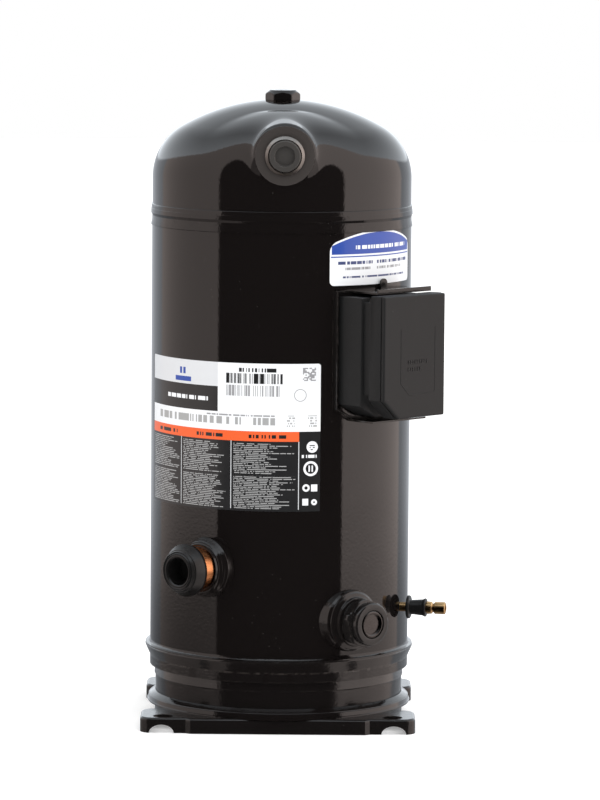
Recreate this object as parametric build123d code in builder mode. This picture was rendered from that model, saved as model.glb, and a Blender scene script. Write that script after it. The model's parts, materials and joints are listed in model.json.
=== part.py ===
from build123d import *
import math
import os

os.makedirs("parts", exist_ok=True)

# Millimetres. +Z is up along the shell's axis, the floor is z = 0, the front is -Y.
# A bearing is the angle round the shell from the front (-Y), positive towards +X.

# ---- fits ----
seat_gap = 0.05  # left all round between pieces that are welded, pressed or screwed together
run_gap = 0.03  # radial clearance of a running bearing
slide_gap = 0.3  # clearance of pieces that slide or swing past each other

# ---- shell ----
shell_radius = 109.5
shell_wall = 4.0
shell_inner = shell_radius - shell_wall
tube_bottom = 43.5
tube_top = 424.0

# ---- base plate ----
base_height = 12.7
plate_wall = 3.0
flange_inset = 0.9
flange_reach = shell_radius - flange_inset
flange_half = 72.7
body_half = 85.9
corner_cut = 10.5
ear_half = 114.7
ear_front = 105.5
ear_back = 57.0
ear_corner = 11.0
ear_root = 8.0
ear_arch_middle = 96.7
ear_arch_half = 10.3
ear_arch_rise = 7.0
side_inset = 4.3
side_radius = shell_radius - side_inset
foot_spacing = 190.5
foot_hole_radius = 8.5
plate_hole_radius = 60.0

# ---- bottom cap ----
ring_wall = 4.05
ring_top = 61.4
ring_bend = 8.5
foot_inset = 4.7
foot_radius = shell_radius - foot_inset
cap_wall = 4.0
foot_bend = 7.0
crease_height = 34.9

# ---- top cap ----
skirt_step = 0.3
crown_radius = 169.2
knuckle_radius = 50.0
knuckle_rise = 33.1
knuckle_height = tube_top + knuckle_rise
boss_bearing = 1.3
boss_rise = 57.1
boss_height = tube_top + boss_rise
boss_stand = 1.4
boss_reach = shell_radius + boss_stand
boss_radius = 26.2
boss_taper = 6.5
boss_edge = 4.5
boss_run = 60.9

# ---- muffler plate and seams ----
muffler_wall = 4.0
muffler_step = 4.0
muffler_port = 22.0
muffler_flat = 20.0
muffler_slope = 8.0
muffler_shift = 2.0
bead_rise = 2.3
bead_half = 5.7
bead_lift = 1.0
fillet_rise = 0.6
foot_bead = 3.5
relief_radius = 5.0
relief_bore = 2.0
relief_inset = 15.0
relief_bearing = 200
relief_flats = 13.0
relief_head = 5.0

# ---- fittings ----
discharge_radius = 16.0
discharge_bore = 11.1
discharge_stand = 6.5
discharge_depth = 24.0
discharge_edge = 2.4
discharge_plug_depth = 10.0
plug_flange = 0.6
plug_stand = 1.8
plug_dish = 2.4
plug_flats = 26.0
plug_rise = 10.4
plug_shank = 8.0
suction_bearing = -33.0
suction_heading = -40.0
suction_height = 137.8
suction_radius = 17.5
suction_wall = 1.5
suction_bore = suction_radius - suction_wall
collar_wall = 5.1
collar_radius = suction_radius + collar_wall
collar_length = 11.0
collar_toe = 2.5
collar_edge = 3.0
suction_stand = 27.0
suction_cap_wall = 4.2
suction_cap_radius = suction_radius + suction_cap_wall
suction_cap_length = 14.0
suction_cap_lap = 3.0
suction_cap_round = 4.0
suction_cap_web = 6.2
suction_cap_mouth = suction_radius - suction_cap_web
baffle_gap = 1.0
baffle_wall = 1.5
baffle_wide = 64.0
baffle_tall = 48.0
oil_bearing = 33.0
oil_heading = 40.0
oil_height = 93.9
oil_spud_radius = 17.0
oil_weld_toe = 8.5
oil_weld_radius = oil_spud_radius + oil_weld_toe
oil_weld_rise = 4.0
oil_bore = 10.5
oil_collar_wall = 3.5
oil_thread_step = 1.0
oil_nut_start = 12.0
oil_nut_wall = 2.5
oil_nut_radius = oil_spud_radius + oil_nut_wall
oil_nut_long = 10.0
oil_nut_turn = 12
oil_face_wall = 0.9
oil_face_radius = oil_spud_radius + oil_face_wall
oil_face_stand = 28.5
oil_face_edge = 1.6
oil_glass_radius = 10.6
oil_glass_thick = 5.0
valve_bearing = 69.0
valve_heading = 78.0
valve_height = 97.9
valve_stem_radius = 4.0
valve_disc_stand = 6.5
valve_disc_radius = 9.4
valve_sleeve_radius = 6.5
valve_sleeve_length = 13.5
valve_end_radius = 4.7
valve_end_length = 16.4
valve_disc_wall = 2.0
core_bore = 2.6
core_depth = 12.0
core_long = 9.0
core_hole = 1.0
pin_head = 1.8
pin_stem = 0.8

# ---- terminal box ----
box_bearing = 45.0
box_low = 263.4
box_high = 367.2
box_half = 38.7
box_face = 156.5
box_cut_side = 18.9
box_cut_rise = 17.0
cover_wall = 2.5
cover_skirt = 27.4
cover_groove = 8.5
cover_step = 13.2
cover_lip = 4.1
groove_depth = 2.6
tray_gap = 0.8
tray_wall = 1.5
tray_rim = 107.2
tray_cut_side = 20.3
tray_cut_rise = 10.4
tray_top_reach = 139.7
tray_bottom_reach = 135.0
flap_half = 31.5
flap_side = 5.0
flap_lip = 4.0
clip_wide = 8.0
clip_tall = 10.0
clip_side = 8.0
panel_line = 0.9
panel_depth = 0.6
panel_left = -16.2
panel_right = 24.2
panel_low = 285.2
panel_high = 340.2
panel_cut = 10.0
terminal_height = 315.0
terminal_radius = 19.0
terminal_pin_radius = 1.6
terminal_pin_circle = 9.5
block_gap = 0.5
block_tall = 12.0
block_wide = 38.0
block_high = 34.0
block_pocket = 5.0
earth_rise = 34.0
earth_side = -12.0
earth_radius = 3.0

# ---- labels ----
label_wall = 0.25
label_low = 186.9
label_high = 309.6
label_left = -74.2
label_right = 17.8
side_label_low = 373.6
side_label_high = 418.5
side_label_left = 22.4
side_label_right = 73.4
side_label_arch = 11.0
side_label_corner = 4.0

# ---- motor ----
stator_low = 166.0
stator_high = 262.0
stator_bore = 58.0
slot_count = 24
slot_bottom = 90.0
slot_width = 6.6
end_turn = 22.0
end_turn_inner = 63.0
end_turn_outer = 91.0
air_gap = 0.8
rotor_radius = stator_bore - air_gap
cage_bars = 16
cage_ring = 8.0
cage_outer = 53.0
cage_inner = 36.0
cage_bar_radius = 3.2
weight_outer = 52.0
weight_inner = 20.0
weight_hub = 25.0
weight_tall = 12.0
core_flat_wide = 6.0
core_flat_long = 30.0
end_turn_round = 6.0

# ---- shaft and bearings ----
shaft_low = 50.0
lower_journal = 10.0
lower_journal_top = 92.0
shaft_radius = 15.0
main_journal = 17.0
pin_radius = 10.5
bearing_wall = 3.0
oil_gallery = 2.5
bush_wall = 3.4
pickup_bore = 3.0
pickup_tip = 8.0
pickup_drop = 20.0
lower_hub_radius = 24.0
spider_wide = 14.0
spider_thick = 8.0
spider_slot_long = 58.0
spider_slot_wide = 44.0

# ---- main bearing housing and scrolls ----
thrust_drop = 62.0
thrust_height = tube_top - thrust_drop
cavity_depth = 32.0
cavity_floor = thrust_height - cavity_depth
main_bearing_long = 30.0
main_bearing_low = cavity_floor - main_bearing_long
pin_short = 3.5
pin_top = thrust_height - pin_short
cavity_radius = 28.0
pad_radius = 50.0
recess_radius = 86.5
rim_radius = 98.0
rim_depth = 16.0
recess_depth = 9.0
arm_width = 30.0
plate_thick = 10.0
orbit_plate_radius = 81.0
oil_film = 0.1
hub_radius = 21.0
hub_length = 22.0
wrap_height = 25.0
half_pitch = 9.4
wrap_wall = 4.2
wrap_clear = 0.3
orbit = half_pitch - wrap_wall - wrap_clear
wrap_start = 15.4
wrap_turns = 7
fixed_plate = 17.0
discharge_port = 6.0
oldham_inner = 57.0
oldham_outer = 73.0
oldham_thick = 4.5
key_centre = 65.0
key_long = 14.0
key_wide = 9.0
key_tall = 5.5
seal_inner = 27.0
seal_outer = 50.0
seal_depth = 10.0
seal_fit = 0.1
seal_lift = 0.8
check_disc_radius = 9.0
check_disc_thick = 1.5
check_lift = 3.0
guard_radius = 18.0
guard_roof_thick = 2.0
guard_slot = 7.0
guard_hole = 2.0
guard_hole_circle = 6.0
bolt_circle = 92.2
bolt_radius = 4.0
bolt_slack = 0.4
bolt_head = 5.0
inlet_wide = 34.0
inlet_margin = 3.0
magnet_reach = 60.0
magnet_radius = 12.0
magnet_bore = 5.0
magnet_thick = 4.0


def reach_point(bearing, reach, height):
    """The point at a distance from the shell's axis, on a bearing."""
    turn = math.radians(bearing)
    return Vector(reach * math.sin(turn), -reach * math.cos(turn), height)


def port_plane(bearing, heading, reach, height):
    """A plane whose local z points out along the heading, local x is level and local y is up."""
    turn = math.radians(heading)
    return Plane(
        origin=reach_point(bearing, reach, height),
        x_dir=(math.cos(turn), math.sin(turn), 0),
        z_dir=(math.sin(turn), -math.cos(turn), 0),
    )


def section_of(plane):
    """The plane that holds a port's axis as its local y, for profiles that are turned round it."""
    return Plane(origin=plane.origin, x_dir=plane.x_dir, z_dir=plane.y_dir * -1)


def axis_of(plane):
    """A port's own axis."""
    return Axis(plane.origin, plane.z_dir)


def outline(*points, mode=Mode.ADD):
    """A closed face from straight runs, drawn in the open sketch."""
    with BuildLine() as run:
        Polyline(*points, close=True)
    return make_face(run.edges(), mode=mode)


def dome_face(skirt, crown, knuckle, low):
    """Half of a torispherical dome's section, filled, from its skirt's low end to its apex."""
    lean = math.degrees(math.atan2(crown_drop, knuckle_centre))
    with BuildLine() as run:
        crown_arc = CenterArc((0, crown_height), crown, 90, lean - 90)
        knuckle_arc = CenterArc((knuckle_centre, knuckle_height), knuckle, lean, -lean)
        Polyline(knuckle_arc @ 1, (skirt, low), (0, low), crown_arc @ 0)
    return make_face(run.edges())


def wall_face(inner, outer, low, high):
    """A plain rectangle of a tube's section."""
    return outline((inner, low), (outer, low), (outer, high), (inner, high))


cap_skirt = shell_radius - skirt_step
cap_bottom = tube_top + muffler_wall
front = Plane.XZ
boss_plane = port_plane(boss_bearing, boss_bearing, boss_reach, boss_height)
suction_plane = port_plane(suction_bearing, suction_heading, shell_radius, suction_height)
oil_plane = port_plane(oil_bearing, oil_heading, shell_radius, oil_height)
valve_plane = port_plane(valve_bearing, valve_heading, shell_radius, valve_height)
box_plane = port_plane(box_bearing, box_bearing, 0, 0)
terminal_plane = port_plane(box_bearing, box_bearing, 0, terminal_height)
knuckle_centre = cap_skirt - knuckle_radius
crown_drop = math.sqrt((crown_radius - knuckle_radius) ** 2 - knuckle_centre**2)
crown_height = knuckle_height - crown_drop
apex = crown_height + crown_radius

# ================= shell =================

with BuildPart() as shell_tube:
    with BuildSketch(front):
        wall_face(shell_inner, shell_radius, tube_bottom, tube_top)
    revolve(axis=Axis.Z)
    with BuildSketch(suction_plane.offset(-3 * shell_wall)):
        Circle(suction_radius + seat_gap)
    extrude(amount=6 * shell_wall, mode=Mode.SUBTRACT)
    with BuildSketch(oil_plane.offset(-3 * shell_wall)):
        Circle(oil_spud_radius + seat_gap)
    extrude(amount=6 * shell_wall, mode=Mode.SUBTRACT)
    with BuildSketch(valve_plane.offset(-3 * shell_wall)):
        Circle(valve_stem_radius + seat_gap)
    extrude(amount=6 * shell_wall, mode=Mode.SUBTRACT)
    with BuildSketch(terminal_plane.offset(shell_inner - 2 * shell_wall)):
        Circle(terminal_radius + seat_gap)
    extrude(amount=4 * shell_wall, mode=Mode.SUBTRACT)
shell_tube.part.label = "shell_tube"
export_step(shell_tube.part, "parts/shell_tube.step")

ring_inner = shell_radius + seat_gap
ring_outer = ring_inner + ring_wall
with BuildPart() as bottom_cap:
    with BuildSketch(front):
        with BuildLine():
            floor = Line((0, base_height), (foot_radius - foot_bend, base_height))
            bend = JernArc(floor @ 1, (1, 0), foot_bend, 90)
            side = Line(bend @ 1, (foot_radius, crease_height))
            shelf = Line(side @ 1, (ring_outer - ring_bend, crease_height))
            shoulder = JernArc(shelf @ 1, (1, 0), ring_bend, 90)
            Polyline(
                shoulder @ 1,
                (ring_outer, ring_top),
                (ring_inner, ring_top),
                (ring_inner, tube_bottom - seat_gap),
                (foot_radius - cap_wall, tube_bottom - seat_gap),
                (foot_radius - cap_wall, base_height + cap_wall),
                (0, base_height + cap_wall),
                floor @ 0,
            )
        make_face()
    revolve(axis=Axis.Z)
bottom_cap.part.label = "bottom_cap"
export_step(bottom_cap.part, "parts/bottom_cap.step")

with BuildPart() as top_cap:
    with BuildSketch(front):
        dome_face(cap_skirt, crown_radius, knuckle_radius, cap_bottom)
    revolve(axis=Axis.Z)
    boss_section = section_of(boss_plane)
    taper = math.tan(math.radians(boss_taper))
    with BuildSketch(boss_section):
        with BuildLine():
            pad = Line((0, 0), (boss_radius - boss_edge, 0))
            edge = RadiusArc(pad @ 1, (boss_radius, -boss_edge), boss_edge)
            Polyline(edge @ 1, (boss_radius + boss_run * taper, -boss_run), (0, -boss_run), pad @ 0)
        make_face()
    revolve(axis=axis_of(boss_plane))
    with BuildSketch(front):
        dome_face(
            cap_skirt - cap_wall,
            crown_radius - cap_wall,
            knuckle_radius - cap_wall,
            cap_bottom,
        )
    revolve(axis=Axis.Z, mode=Mode.SUBTRACT)
    with BuildSketch(boss_section):
        outline(
            (0, -cap_wall),
            (boss_radius - cap_wall, -cap_wall),
            (boss_radius - cap_wall + boss_run * taper, -boss_run),
            (0, -boss_run),
        )
    revolve(axis=axis_of(boss_plane), mode=Mode.SUBTRACT)
    with BuildSketch(boss_plane.offset(-2 * cap_wall)):
        Circle(discharge_radius + seat_gap)
    extrude(amount=4 * cap_wall, mode=Mode.SUBTRACT)
    with BuildSketch(Plane.XY.offset(apex - 3 * cap_wall)):
        Circle(plug_shank + seat_gap)
    extrude(amount=6 * cap_wall, mode=Mode.SUBTRACT)
top_cap.part.label = "top_cap"
export_step(top_cap.part, "parts/top_cap.step")

slope_start = seal_outer + muffler_flat
with BuildPart() as muffler_plate:
    with BuildSketch(front):
        outline(
            (muffler_port, tube_top - muffler_step),
            (slope_start, tube_top - muffler_step),
            (slope_start + muffler_slope, tube_top),
            (shell_radius, tube_top),
            (shell_radius, tube_top + muffler_wall),
            (slope_start + muffler_slope - muffler_shift, tube_top + muffler_wall),
            (slope_start - muffler_shift, tube_top + muffler_wall - muffler_step),
            (muffler_port, tube_top + muffler_wall - muffler_step),
        )
    revolve(axis=Axis.Z)
    with BuildSketch(Plane.XY.offset(tube_top - 1)):
        with PolarLocations(shell_inner - relief_inset, 1, relief_bearing):
            Circle(relief_radius + seat_gap)
    extrude(amount=muffler_wall + 2, mode=Mode.SUBTRACT)
muffler_plate.part.label = "muffler_plate"
export_step(muffler_plate.part, "parts/muffler_plate.step")

bead_middle = cap_bottom + bead_lift
with BuildPart() as upper_weld_bead:
    with BuildSketch(front):
        with BuildLine():
            crest = (shell_radius + bead_rise, bead_middle)
            bulge = ThreePointArc(
                (shell_radius + seat_gap, bead_middle - bead_half),
                crest,
                (shell_radius + seat_gap, bead_middle + bead_half),
            )
            Polyline(
                bulge @ 1,
                (cap_skirt + seat_gap, bead_middle + bead_half),
                (cap_skirt + seat_gap, cap_bottom + seat_gap),
                (shell_radius + seat_gap, cap_bottom + seat_gap),
                bulge @ 0,
            )
        make_face()
    revolve(axis=Axis.Z)
upper_weld_bead.part.label = "upper_weld_bead"
export_step(upper_weld_bead.part, "parts/upper_weld_bead.step")

with BuildPart() as lower_weld_bead:
    with BuildSketch(front):
        outline(
            (shell_radius + seat_gap, ring_top + seat_gap),
            (ring_outer - fillet_rise, ring_top + seat_gap),
            (shell_radius + seat_gap, ring_top + ring_wall),
        )
    revolve(axis=Axis.Z)
lower_weld_bead.part.label = "lower_weld_bead"
export_step(lower_weld_bead.part, "parts/lower_weld_bead.step")

with BuildPart() as foot_weld_bead:
    with BuildSketch(front):
        outline(
            (foot_radius - foot_bend / 4, base_height + seat_gap),
            (foot_radius + foot_bead, base_height + seat_gap),
            (foot_radius + seat_gap, base_height + foot_bend + 1),
        )
    revolve(axis=Axis.Z)
    with BuildSketch(front):
        with BuildLine():
            low = Line((0, base_height), (foot_radius - foot_bend + seat_gap, base_height))
            turn = JernArc(low @ 1, (1, 0), foot_bend, 90)
            Polyline(turn @ 1, (foot_radius + seat_gap, crease_height), (0, crease_height), low @ 0)
        make_face()
    revolve(axis=Axis.Z, mode=Mode.SUBTRACT)
foot_weld_bead.part.label = "foot_weld_bead"
export_step(foot_weld_bead.part, "parts/foot_weld_bead.step")


# ================= base plate =================

def pan_outline(inset):
    """The pan seen from above: a body with cut corners, round sides and four ears."""
    with BuildSketch(Plane.XY) as shape:
        Circle(side_radius - inset)
        with BuildLine() as run:
            Polyline(
                (flange_half - inset, -flange_reach + inset),
                (body_half - inset, -flange_reach + corner_cut + inset),
                (body_half - inset, flange_reach - corner_cut - inset),
                (flange_half - inset, flange_reach - inset),
                (-flange_half + inset, flange_reach - inset),
                (-body_half + inset, flange_reach - corner_cut - inset),
                (-body_half + inset, -flange_reach + corner_cut + inset),
                (-flange_half + inset, -flange_reach + inset),
                close=True,
            )
        make_face()
        ear_long = ear_half - body_half / 2
        with GridLocations(2 * (ear_half - ear_long / 2), ear_front + ear_back, 2, 2):
            RectangleRounded(
                ear_long - 2 * inset,
                ear_front - ear_back - 2 * inset,
                ear_corner - inset,
            )
    return shape.sketch


with BuildPart() as base_plate:
    with BuildSketch(Plane.XY) as pan:
        add(pan_outline(0))
        notches = [corner for corner in pan.vertices() if abs(abs(corner.Y) - ear_back) < seat_gap]
        notches = [corner for corner in notches if abs(corner.X) < ear_half - 2 * ear_corner]
        fillet(notches, ear_root)
    extrude(amount=base_height)
    with BuildSketch(Plane.XY):
        add(pan_outline(plate_wall))
    extrude(amount=base_height - plate_wall, mode=Mode.SUBTRACT)
    with BuildSketch(Plane.XZ.offset(ear_back - 1), Plane.XZ.offset(-flange_reach - 1)):
        with Locations((ear_arch_middle, 0), (-ear_arch_middle, 0)):
            Ellipse(ear_arch_half, ear_arch_rise)
    extrude(amount=flange_reach - ear_back + 2, mode=Mode.SUBTRACT)
    with BuildSketch(Plane.XY):
        with GridLocations(foot_spacing, foot_spacing, 2, 2):
            Circle(foot_hole_radius)
        Circle(plate_hole_radius)
    extrude(amount=base_height, mode=Mode.SUBTRACT)
    top_face = base_plate.faces().filter_by(Axis.Z).sort_by(Axis.Z)[-1]
    fillet(top_face.outer_wire().edges(), plate_wall * 0.8)
base_plate.part.label = "base_plate"
export_step(base_plate.part, "parts/base_plate.step")

# ================= discharge, top plug =================

with BuildPart() as discharge_fitting:
    with BuildSketch(boss_plane.offset(-discharge_depth)):
        Circle(discharge_radius)
    extrude(amount=discharge_depth + discharge_stand)
    chamfer(discharge_fitting.edges().filter_by(GeomType.CIRCLE).sort_by(Axis.Y)[0], discharge_edge)
    with BuildSketch(boss_plane.offset(-discharge_depth)):
        Circle(discharge_bore)
    extrude(amount=discharge_depth + discharge_stand, mode=Mode.SUBTRACT)
discharge_fitting.part.label = "discharge_fitting"
export_step(discharge_fitting.part, "parts/discharge_fitting.step")

plug_section = section_of(boss_plane)
with BuildPart() as discharge_plug:
    with BuildSketch(plug_section):
        outline(
            (0, -discharge_plug_depth),
            (discharge_bore - slide_gap, -discharge_plug_depth),
            (discharge_bore - slide_gap, discharge_stand + 0.2),
            (discharge_bore + plug_flange, discharge_stand + 0.2),
            (discharge_bore, discharge_stand + plug_stand),
            (discharge_bore - 2, discharge_stand + plug_stand),
            (discharge_bore - 3, discharge_stand + plug_stand - plug_dish),
            (0, discharge_stand + plug_stand - plug_dish),
        )
    revolve(axis=axis_of(boss_plane))
discharge_plug.part.label = "discharge_plug"
export_step(discharge_plug.part, "parts/discharge_plug.step")

plug_seat = apex + seat_gap
with BuildPart() as top_plug:
    with BuildSketch(Plane.XY.offset(plug_seat)):
        RegularPolygon(plug_flats / 2, 6, major_radius=False)
    extrude(amount=plug_rise)
    with BuildSketch(front):
        outline(
            (plug_flats * 0.46, plug_seat + plug_rise),
            (plug_flats * 0.62, plug_seat + plug_rise),
            (plug_flats * 0.62, plug_seat + plug_rise * 0.66),
        )
    revolve(axis=Axis.Z, mode=Mode.SUBTRACT)
    with BuildSketch(Plane.XY.offset(apex - 3 * cap_wall)):
        Circle(plug_shank)
    extrude(until=Until.NEXT)
top_plug.part.label = "top_plug"
export_step(top_plug.part, "parts/top_plug.step")

# ================= suction stub =================

saddle = shell_radius + seat_gap


def shell_solid(radius):
    """A plain rod that fills the shell, for cutting what is welded to its outside."""
    with BuildSketch(Plane.XY.offset(base_height)) as rod:
        Circle(radius)
    return extrude(rod.sketch, amount=tube_top - base_height, mode=Mode.SUBTRACT)


with BuildPart() as suction_collar:
    with BuildSketch(section_of(suction_plane)):
        outline(
            (suction_radius + seat_gap, -6),
            (collar_radius + collar_toe, -6),
            (collar_radius + collar_toe, collar_toe),
            (collar_radius, 2 * collar_toe),
            (collar_radius, collar_length - collar_edge),
            (collar_radius - collar_edge, collar_length),
            (suction_radius + seat_gap, collar_length),
        )
    revolve(axis=axis_of(suction_plane))
    shell_solid(saddle)
suction_collar.part.label = "suction_collar"
export_step(suction_collar.part, "parts/suction_collar.step")

with BuildPart() as suction_tube:
    with BuildSketch(suction_plane.offset(-3 * shell_wall)):
        Circle(suction_radius)
        Circle(suction_bore, mode=Mode.SUBTRACT)
    extrude(amount=3 * shell_wall + suction_stand + 4)
suction_tube.part.label = "suction_tube"
export_step(suction_tube.part, "parts/suction_tube.step")

cap_start = suction_stand - suction_cap_lap
cap_end = cap_start + suction_cap_length
with BuildPart() as suction_cap:
    with BuildSketch(section_of(suction_plane)):
        with BuildLine():
            skirt = Polyline(
                (suction_bore - slide_gap, cap_start),
                (suction_bore - slide_gap, suction_stand + 4.2),
                (suction_radius + slide_gap, suction_stand + 4.2),
                (suction_radius + slide_gap, cap_start),
                (suction_cap_radius, cap_start),
                (suction_cap_radius, cap_end - suction_cap_round),
            )
            shoulder = RadiusArc(
                skirt @ 1,
                (suction_cap_radius - suction_cap_round, cap_end),
                -suction_cap_round,
            )
            Polyline(
                shoulder @ 1,
                (suction_cap_mouth + 1.5, cap_end),
                (suction_cap_mouth, cap_end - 1.5),
                (suction_cap_mouth, cap_start - 4),
                (0, cap_start - 4),
                (0, cap_start - 6),
                (suction_bore - slide_gap, cap_start - 6),
                skirt @ 0,
            )
        make_face()
    revolve(axis=axis_of(suction_plane))
suction_cap.part.label = "suction_cap"
export_step(suction_cap.part, "parts/suction_cap.step")

baffle_inner = end_turn_outer + baffle_gap
with BuildPart() as suction_baffle:
    with BuildSketch(Plane.XY.offset(suction_height - baffle_tall / 2)):
        Circle(baffle_inner + baffle_wall)
        Circle(baffle_inner, mode=Mode.SUBTRACT)
        with Locations(reach_point(suction_bearing, baffle_inner, 0)):
            Rectangle(baffle_wide, baffle_inner, rotation=suction_bearing, mode=Mode.INTERSECT)
    extrude(amount=baffle_tall)
suction_baffle.part.label = "suction_baffle"
export_step(suction_baffle.part, "parts/suction_baffle.step")

# ================= oil port =================

spud_stop = oil_face_stand - oil_glass_thick - 2
with BuildPart() as oil_port_spud:
    with BuildSketch(section_of(oil_plane)):
        outline(
            (oil_bore, -7),
            (oil_spud_radius, -7),
            (oil_spud_radius, oil_weld_rise),
            (oil_weld_radius, oil_weld_rise),
            (oil_weld_radius - 2, oil_weld_rise + 2),
            (oil_spud_radius + oil_collar_wall, oil_weld_rise + 3.5),
            (oil_spud_radius + oil_collar_wall, oil_nut_start - 2),
            (oil_spud_radius - oil_thread_step, oil_nut_start - 1),
            (oil_spud_radius - oil_thread_step, spud_stop),
            (oil_bore, spud_stop),
        )
    revolve(axis=axis_of(oil_plane))
oil_port_spud.part.label = "oil_port_spud"
export_step(oil_port_spud.part, "parts/oil_port_spud.step")

with BuildPart() as oil_port_weld:
    with BuildSketch(section_of(oil_plane)):
        outline(
            (oil_spud_radius + seat_gap, -9),
            (oil_weld_radius + 3, -9),
            (oil_weld_radius + 1, oil_weld_rise - 0.5),
            (oil_weld_radius - 1, oil_weld_rise - seat_gap),
            (oil_spud_radius + seat_gap, oil_weld_rise - seat_gap),
        )
    revolve(axis=axis_of(oil_plane))
    shell_solid(saddle)
oil_port_weld.part.label = "oil_port_weld"
export_step(oil_port_weld.part, "parts/oil_port_weld.step")

nut_bore = oil_spud_radius - oil_thread_step + run_gap
nut_end = oil_nut_start + oil_nut_long
with BuildPart() as oil_port_nut:
    with BuildSketch(oil_plane.offset(oil_nut_start)):
        RegularPolygon(oil_nut_radius - 0.6, 6, major_radius=False, rotation=oil_nut_turn)
    extrude(amount=oil_nut_long)
    with BuildSketch(section_of(oil_plane)):
        outline(
            (0, oil_nut_start),
            (oil_nut_radius - 1, oil_nut_start),
            (oil_nut_radius + 1.4, oil_nut_start + 2),
            (oil_nut_radius + 1.4, nut_end - 2),
            (oil_nut_radius - 1.4, nut_end),
            (0, nut_end),
        )
    revolve(axis=axis_of(oil_plane), mode=Mode.INTERSECT)
    with BuildSketch(section_of(oil_plane)):
        outline(
            (0, nut_end),
            (oil_face_radius, nut_end),
            (oil_face_radius, oil_face_stand - oil_face_edge),
            (oil_face_radius - oil_face_edge, oil_face_stand),
            (0, oil_face_stand),
        )
    revolve(axis=axis_of(oil_plane))
    with BuildSketch(oil_plane.offset(oil_nut_start)):
        Circle(nut_bore)
    extrude(amount=spud_stop + slide_gap - oil_nut_start, mode=Mode.SUBTRACT)
    with BuildSketch(oil_plane.offset(oil_nut_start)):
        Circle(oil_glass_radius + seat_gap)
    extrude(amount=oil_face_stand - oil_nut_start, mode=Mode.SUBTRACT)
oil_port_nut.part.label = "oil_port_nut"
export_step(oil_port_nut.part, "parts/oil_port_nut.step")

with BuildPart() as oil_port_disc:
    with BuildSketch(section_of(oil_plane)):
        outline(
            (0, oil_face_stand - oil_glass_thick),
            (oil_glass_radius, oil_face_stand - oil_glass_thick),
            (oil_glass_radius, oil_face_stand - 0.6),
            (oil_glass_radius - 0.8, oil_face_stand + 0.2),
            (oil_glass_radius - 1.8, oil_face_stand - 1.2),
            (0, oil_face_stand - 1.2),
        )
    revolve(axis=axis_of(oil_plane))
oil_port_disc.part.label = "oil_port_disc"
export_step(oil_port_disc.part, "parts/oil_port_disc.step")

# ================= service valve =================

sleeve_start = valve_disc_stand + valve_disc_wall
sleeve_end = sleeve_start + valve_sleeve_length
valve_tip = sleeve_end + valve_end_length
with BuildPart() as valve_body:
    with BuildSketch(section_of(valve_plane)):
        outline(
            (core_bore, -shell_wall - 6),
            (valve_stem_radius, -shell_wall - 6),
            (valve_stem_radius, sleeve_end + 0.5),
            (valve_end_radius, sleeve_end + 1.5),
            (valve_end_radius, sleeve_end + 5),
            (valve_end_radius - 0.9, sleeve_end + 6.5),
            (valve_end_radius, sleeve_end + 8),
            (valve_end_radius, valve_tip - 0.5),
            (valve_end_radius - 0.5, valve_tip),
            (core_bore, valve_tip),
        )
    revolve(axis=axis_of(valve_plane))
valve_body.part.label = "valve_body"
export_step(valve_body.part, "parts/valve_body.step")

with BuildPart() as valve_sleeve:
    with BuildSketch(section_of(valve_plane)):
        outline(
            (valve_stem_radius + seat_gap, valve_disc_stand),
            (valve_disc_radius, valve_disc_stand),
            (valve_disc_radius, sleeve_start),
            (valve_sleeve_radius, sleeve_start + 0.6),
            (valve_sleeve_radius, sleeve_end - 2),
            (valve_sleeve_radius + 0.8, sleeve_end),
            (valve_stem_radius + seat_gap, sleeve_end),
        )
    revolve(axis=axis_of(valve_plane))
valve_sleeve.part.label = "valve_sleeve"
export_step(valve_sleeve.part, "parts/valve_sleeve.step")

with BuildPart() as valve_core:
    with BuildSketch(valve_plane.offset(valve_tip - core_depth)):
        Circle(core_bore - seat_gap)
        Circle(core_hole, mode=Mode.SUBTRACT)
    extrude(amount=core_long)
valve_core.part.label = "valve_core"
export_step(valve_core.part, "parts/valve_core.step")

with BuildPart() as valve_pin:
    with BuildSketch(valve_plane.offset(valve_tip - core_depth - 2.5)):
        Circle(pin_head)
    extrude(amount=2)
    with BuildSketch(valve_plane.offset(valve_tip - core_depth - 1)):
        Circle(pin_stem)
    extrude(amount=core_depth)
valve_pin.part.label = "valve_pin"
export_step(valve_pin.part, "parts/valve_pin.step")


# ================= terminal box =================

def box_outline(inset, cut_side, cut_rise, mode=Mode.ADD):
    """The box seen from outside: a rectangle whose lower left corner is cut off."""
    half = box_half - inset
    low = box_low + inset
    return outline(
        (-half, low + cut_rise),
        (-half + cut_side, low),
        (half, low),
        (half, box_high - inset),
        (-half, box_high - inset),
        mode=mode,
    )


cover_back = box_face - cover_skirt - cover_groove - cover_step - cover_lip
groove_at = cover_back + cover_skirt
step_at = groove_at + cover_groove
lip_at = step_at + cover_step
tray_edge = tray_gap + tray_wall
tray_back = math.sqrt(shell_radius**2 - (box_half + tray_edge) ** 2) - 12

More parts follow.
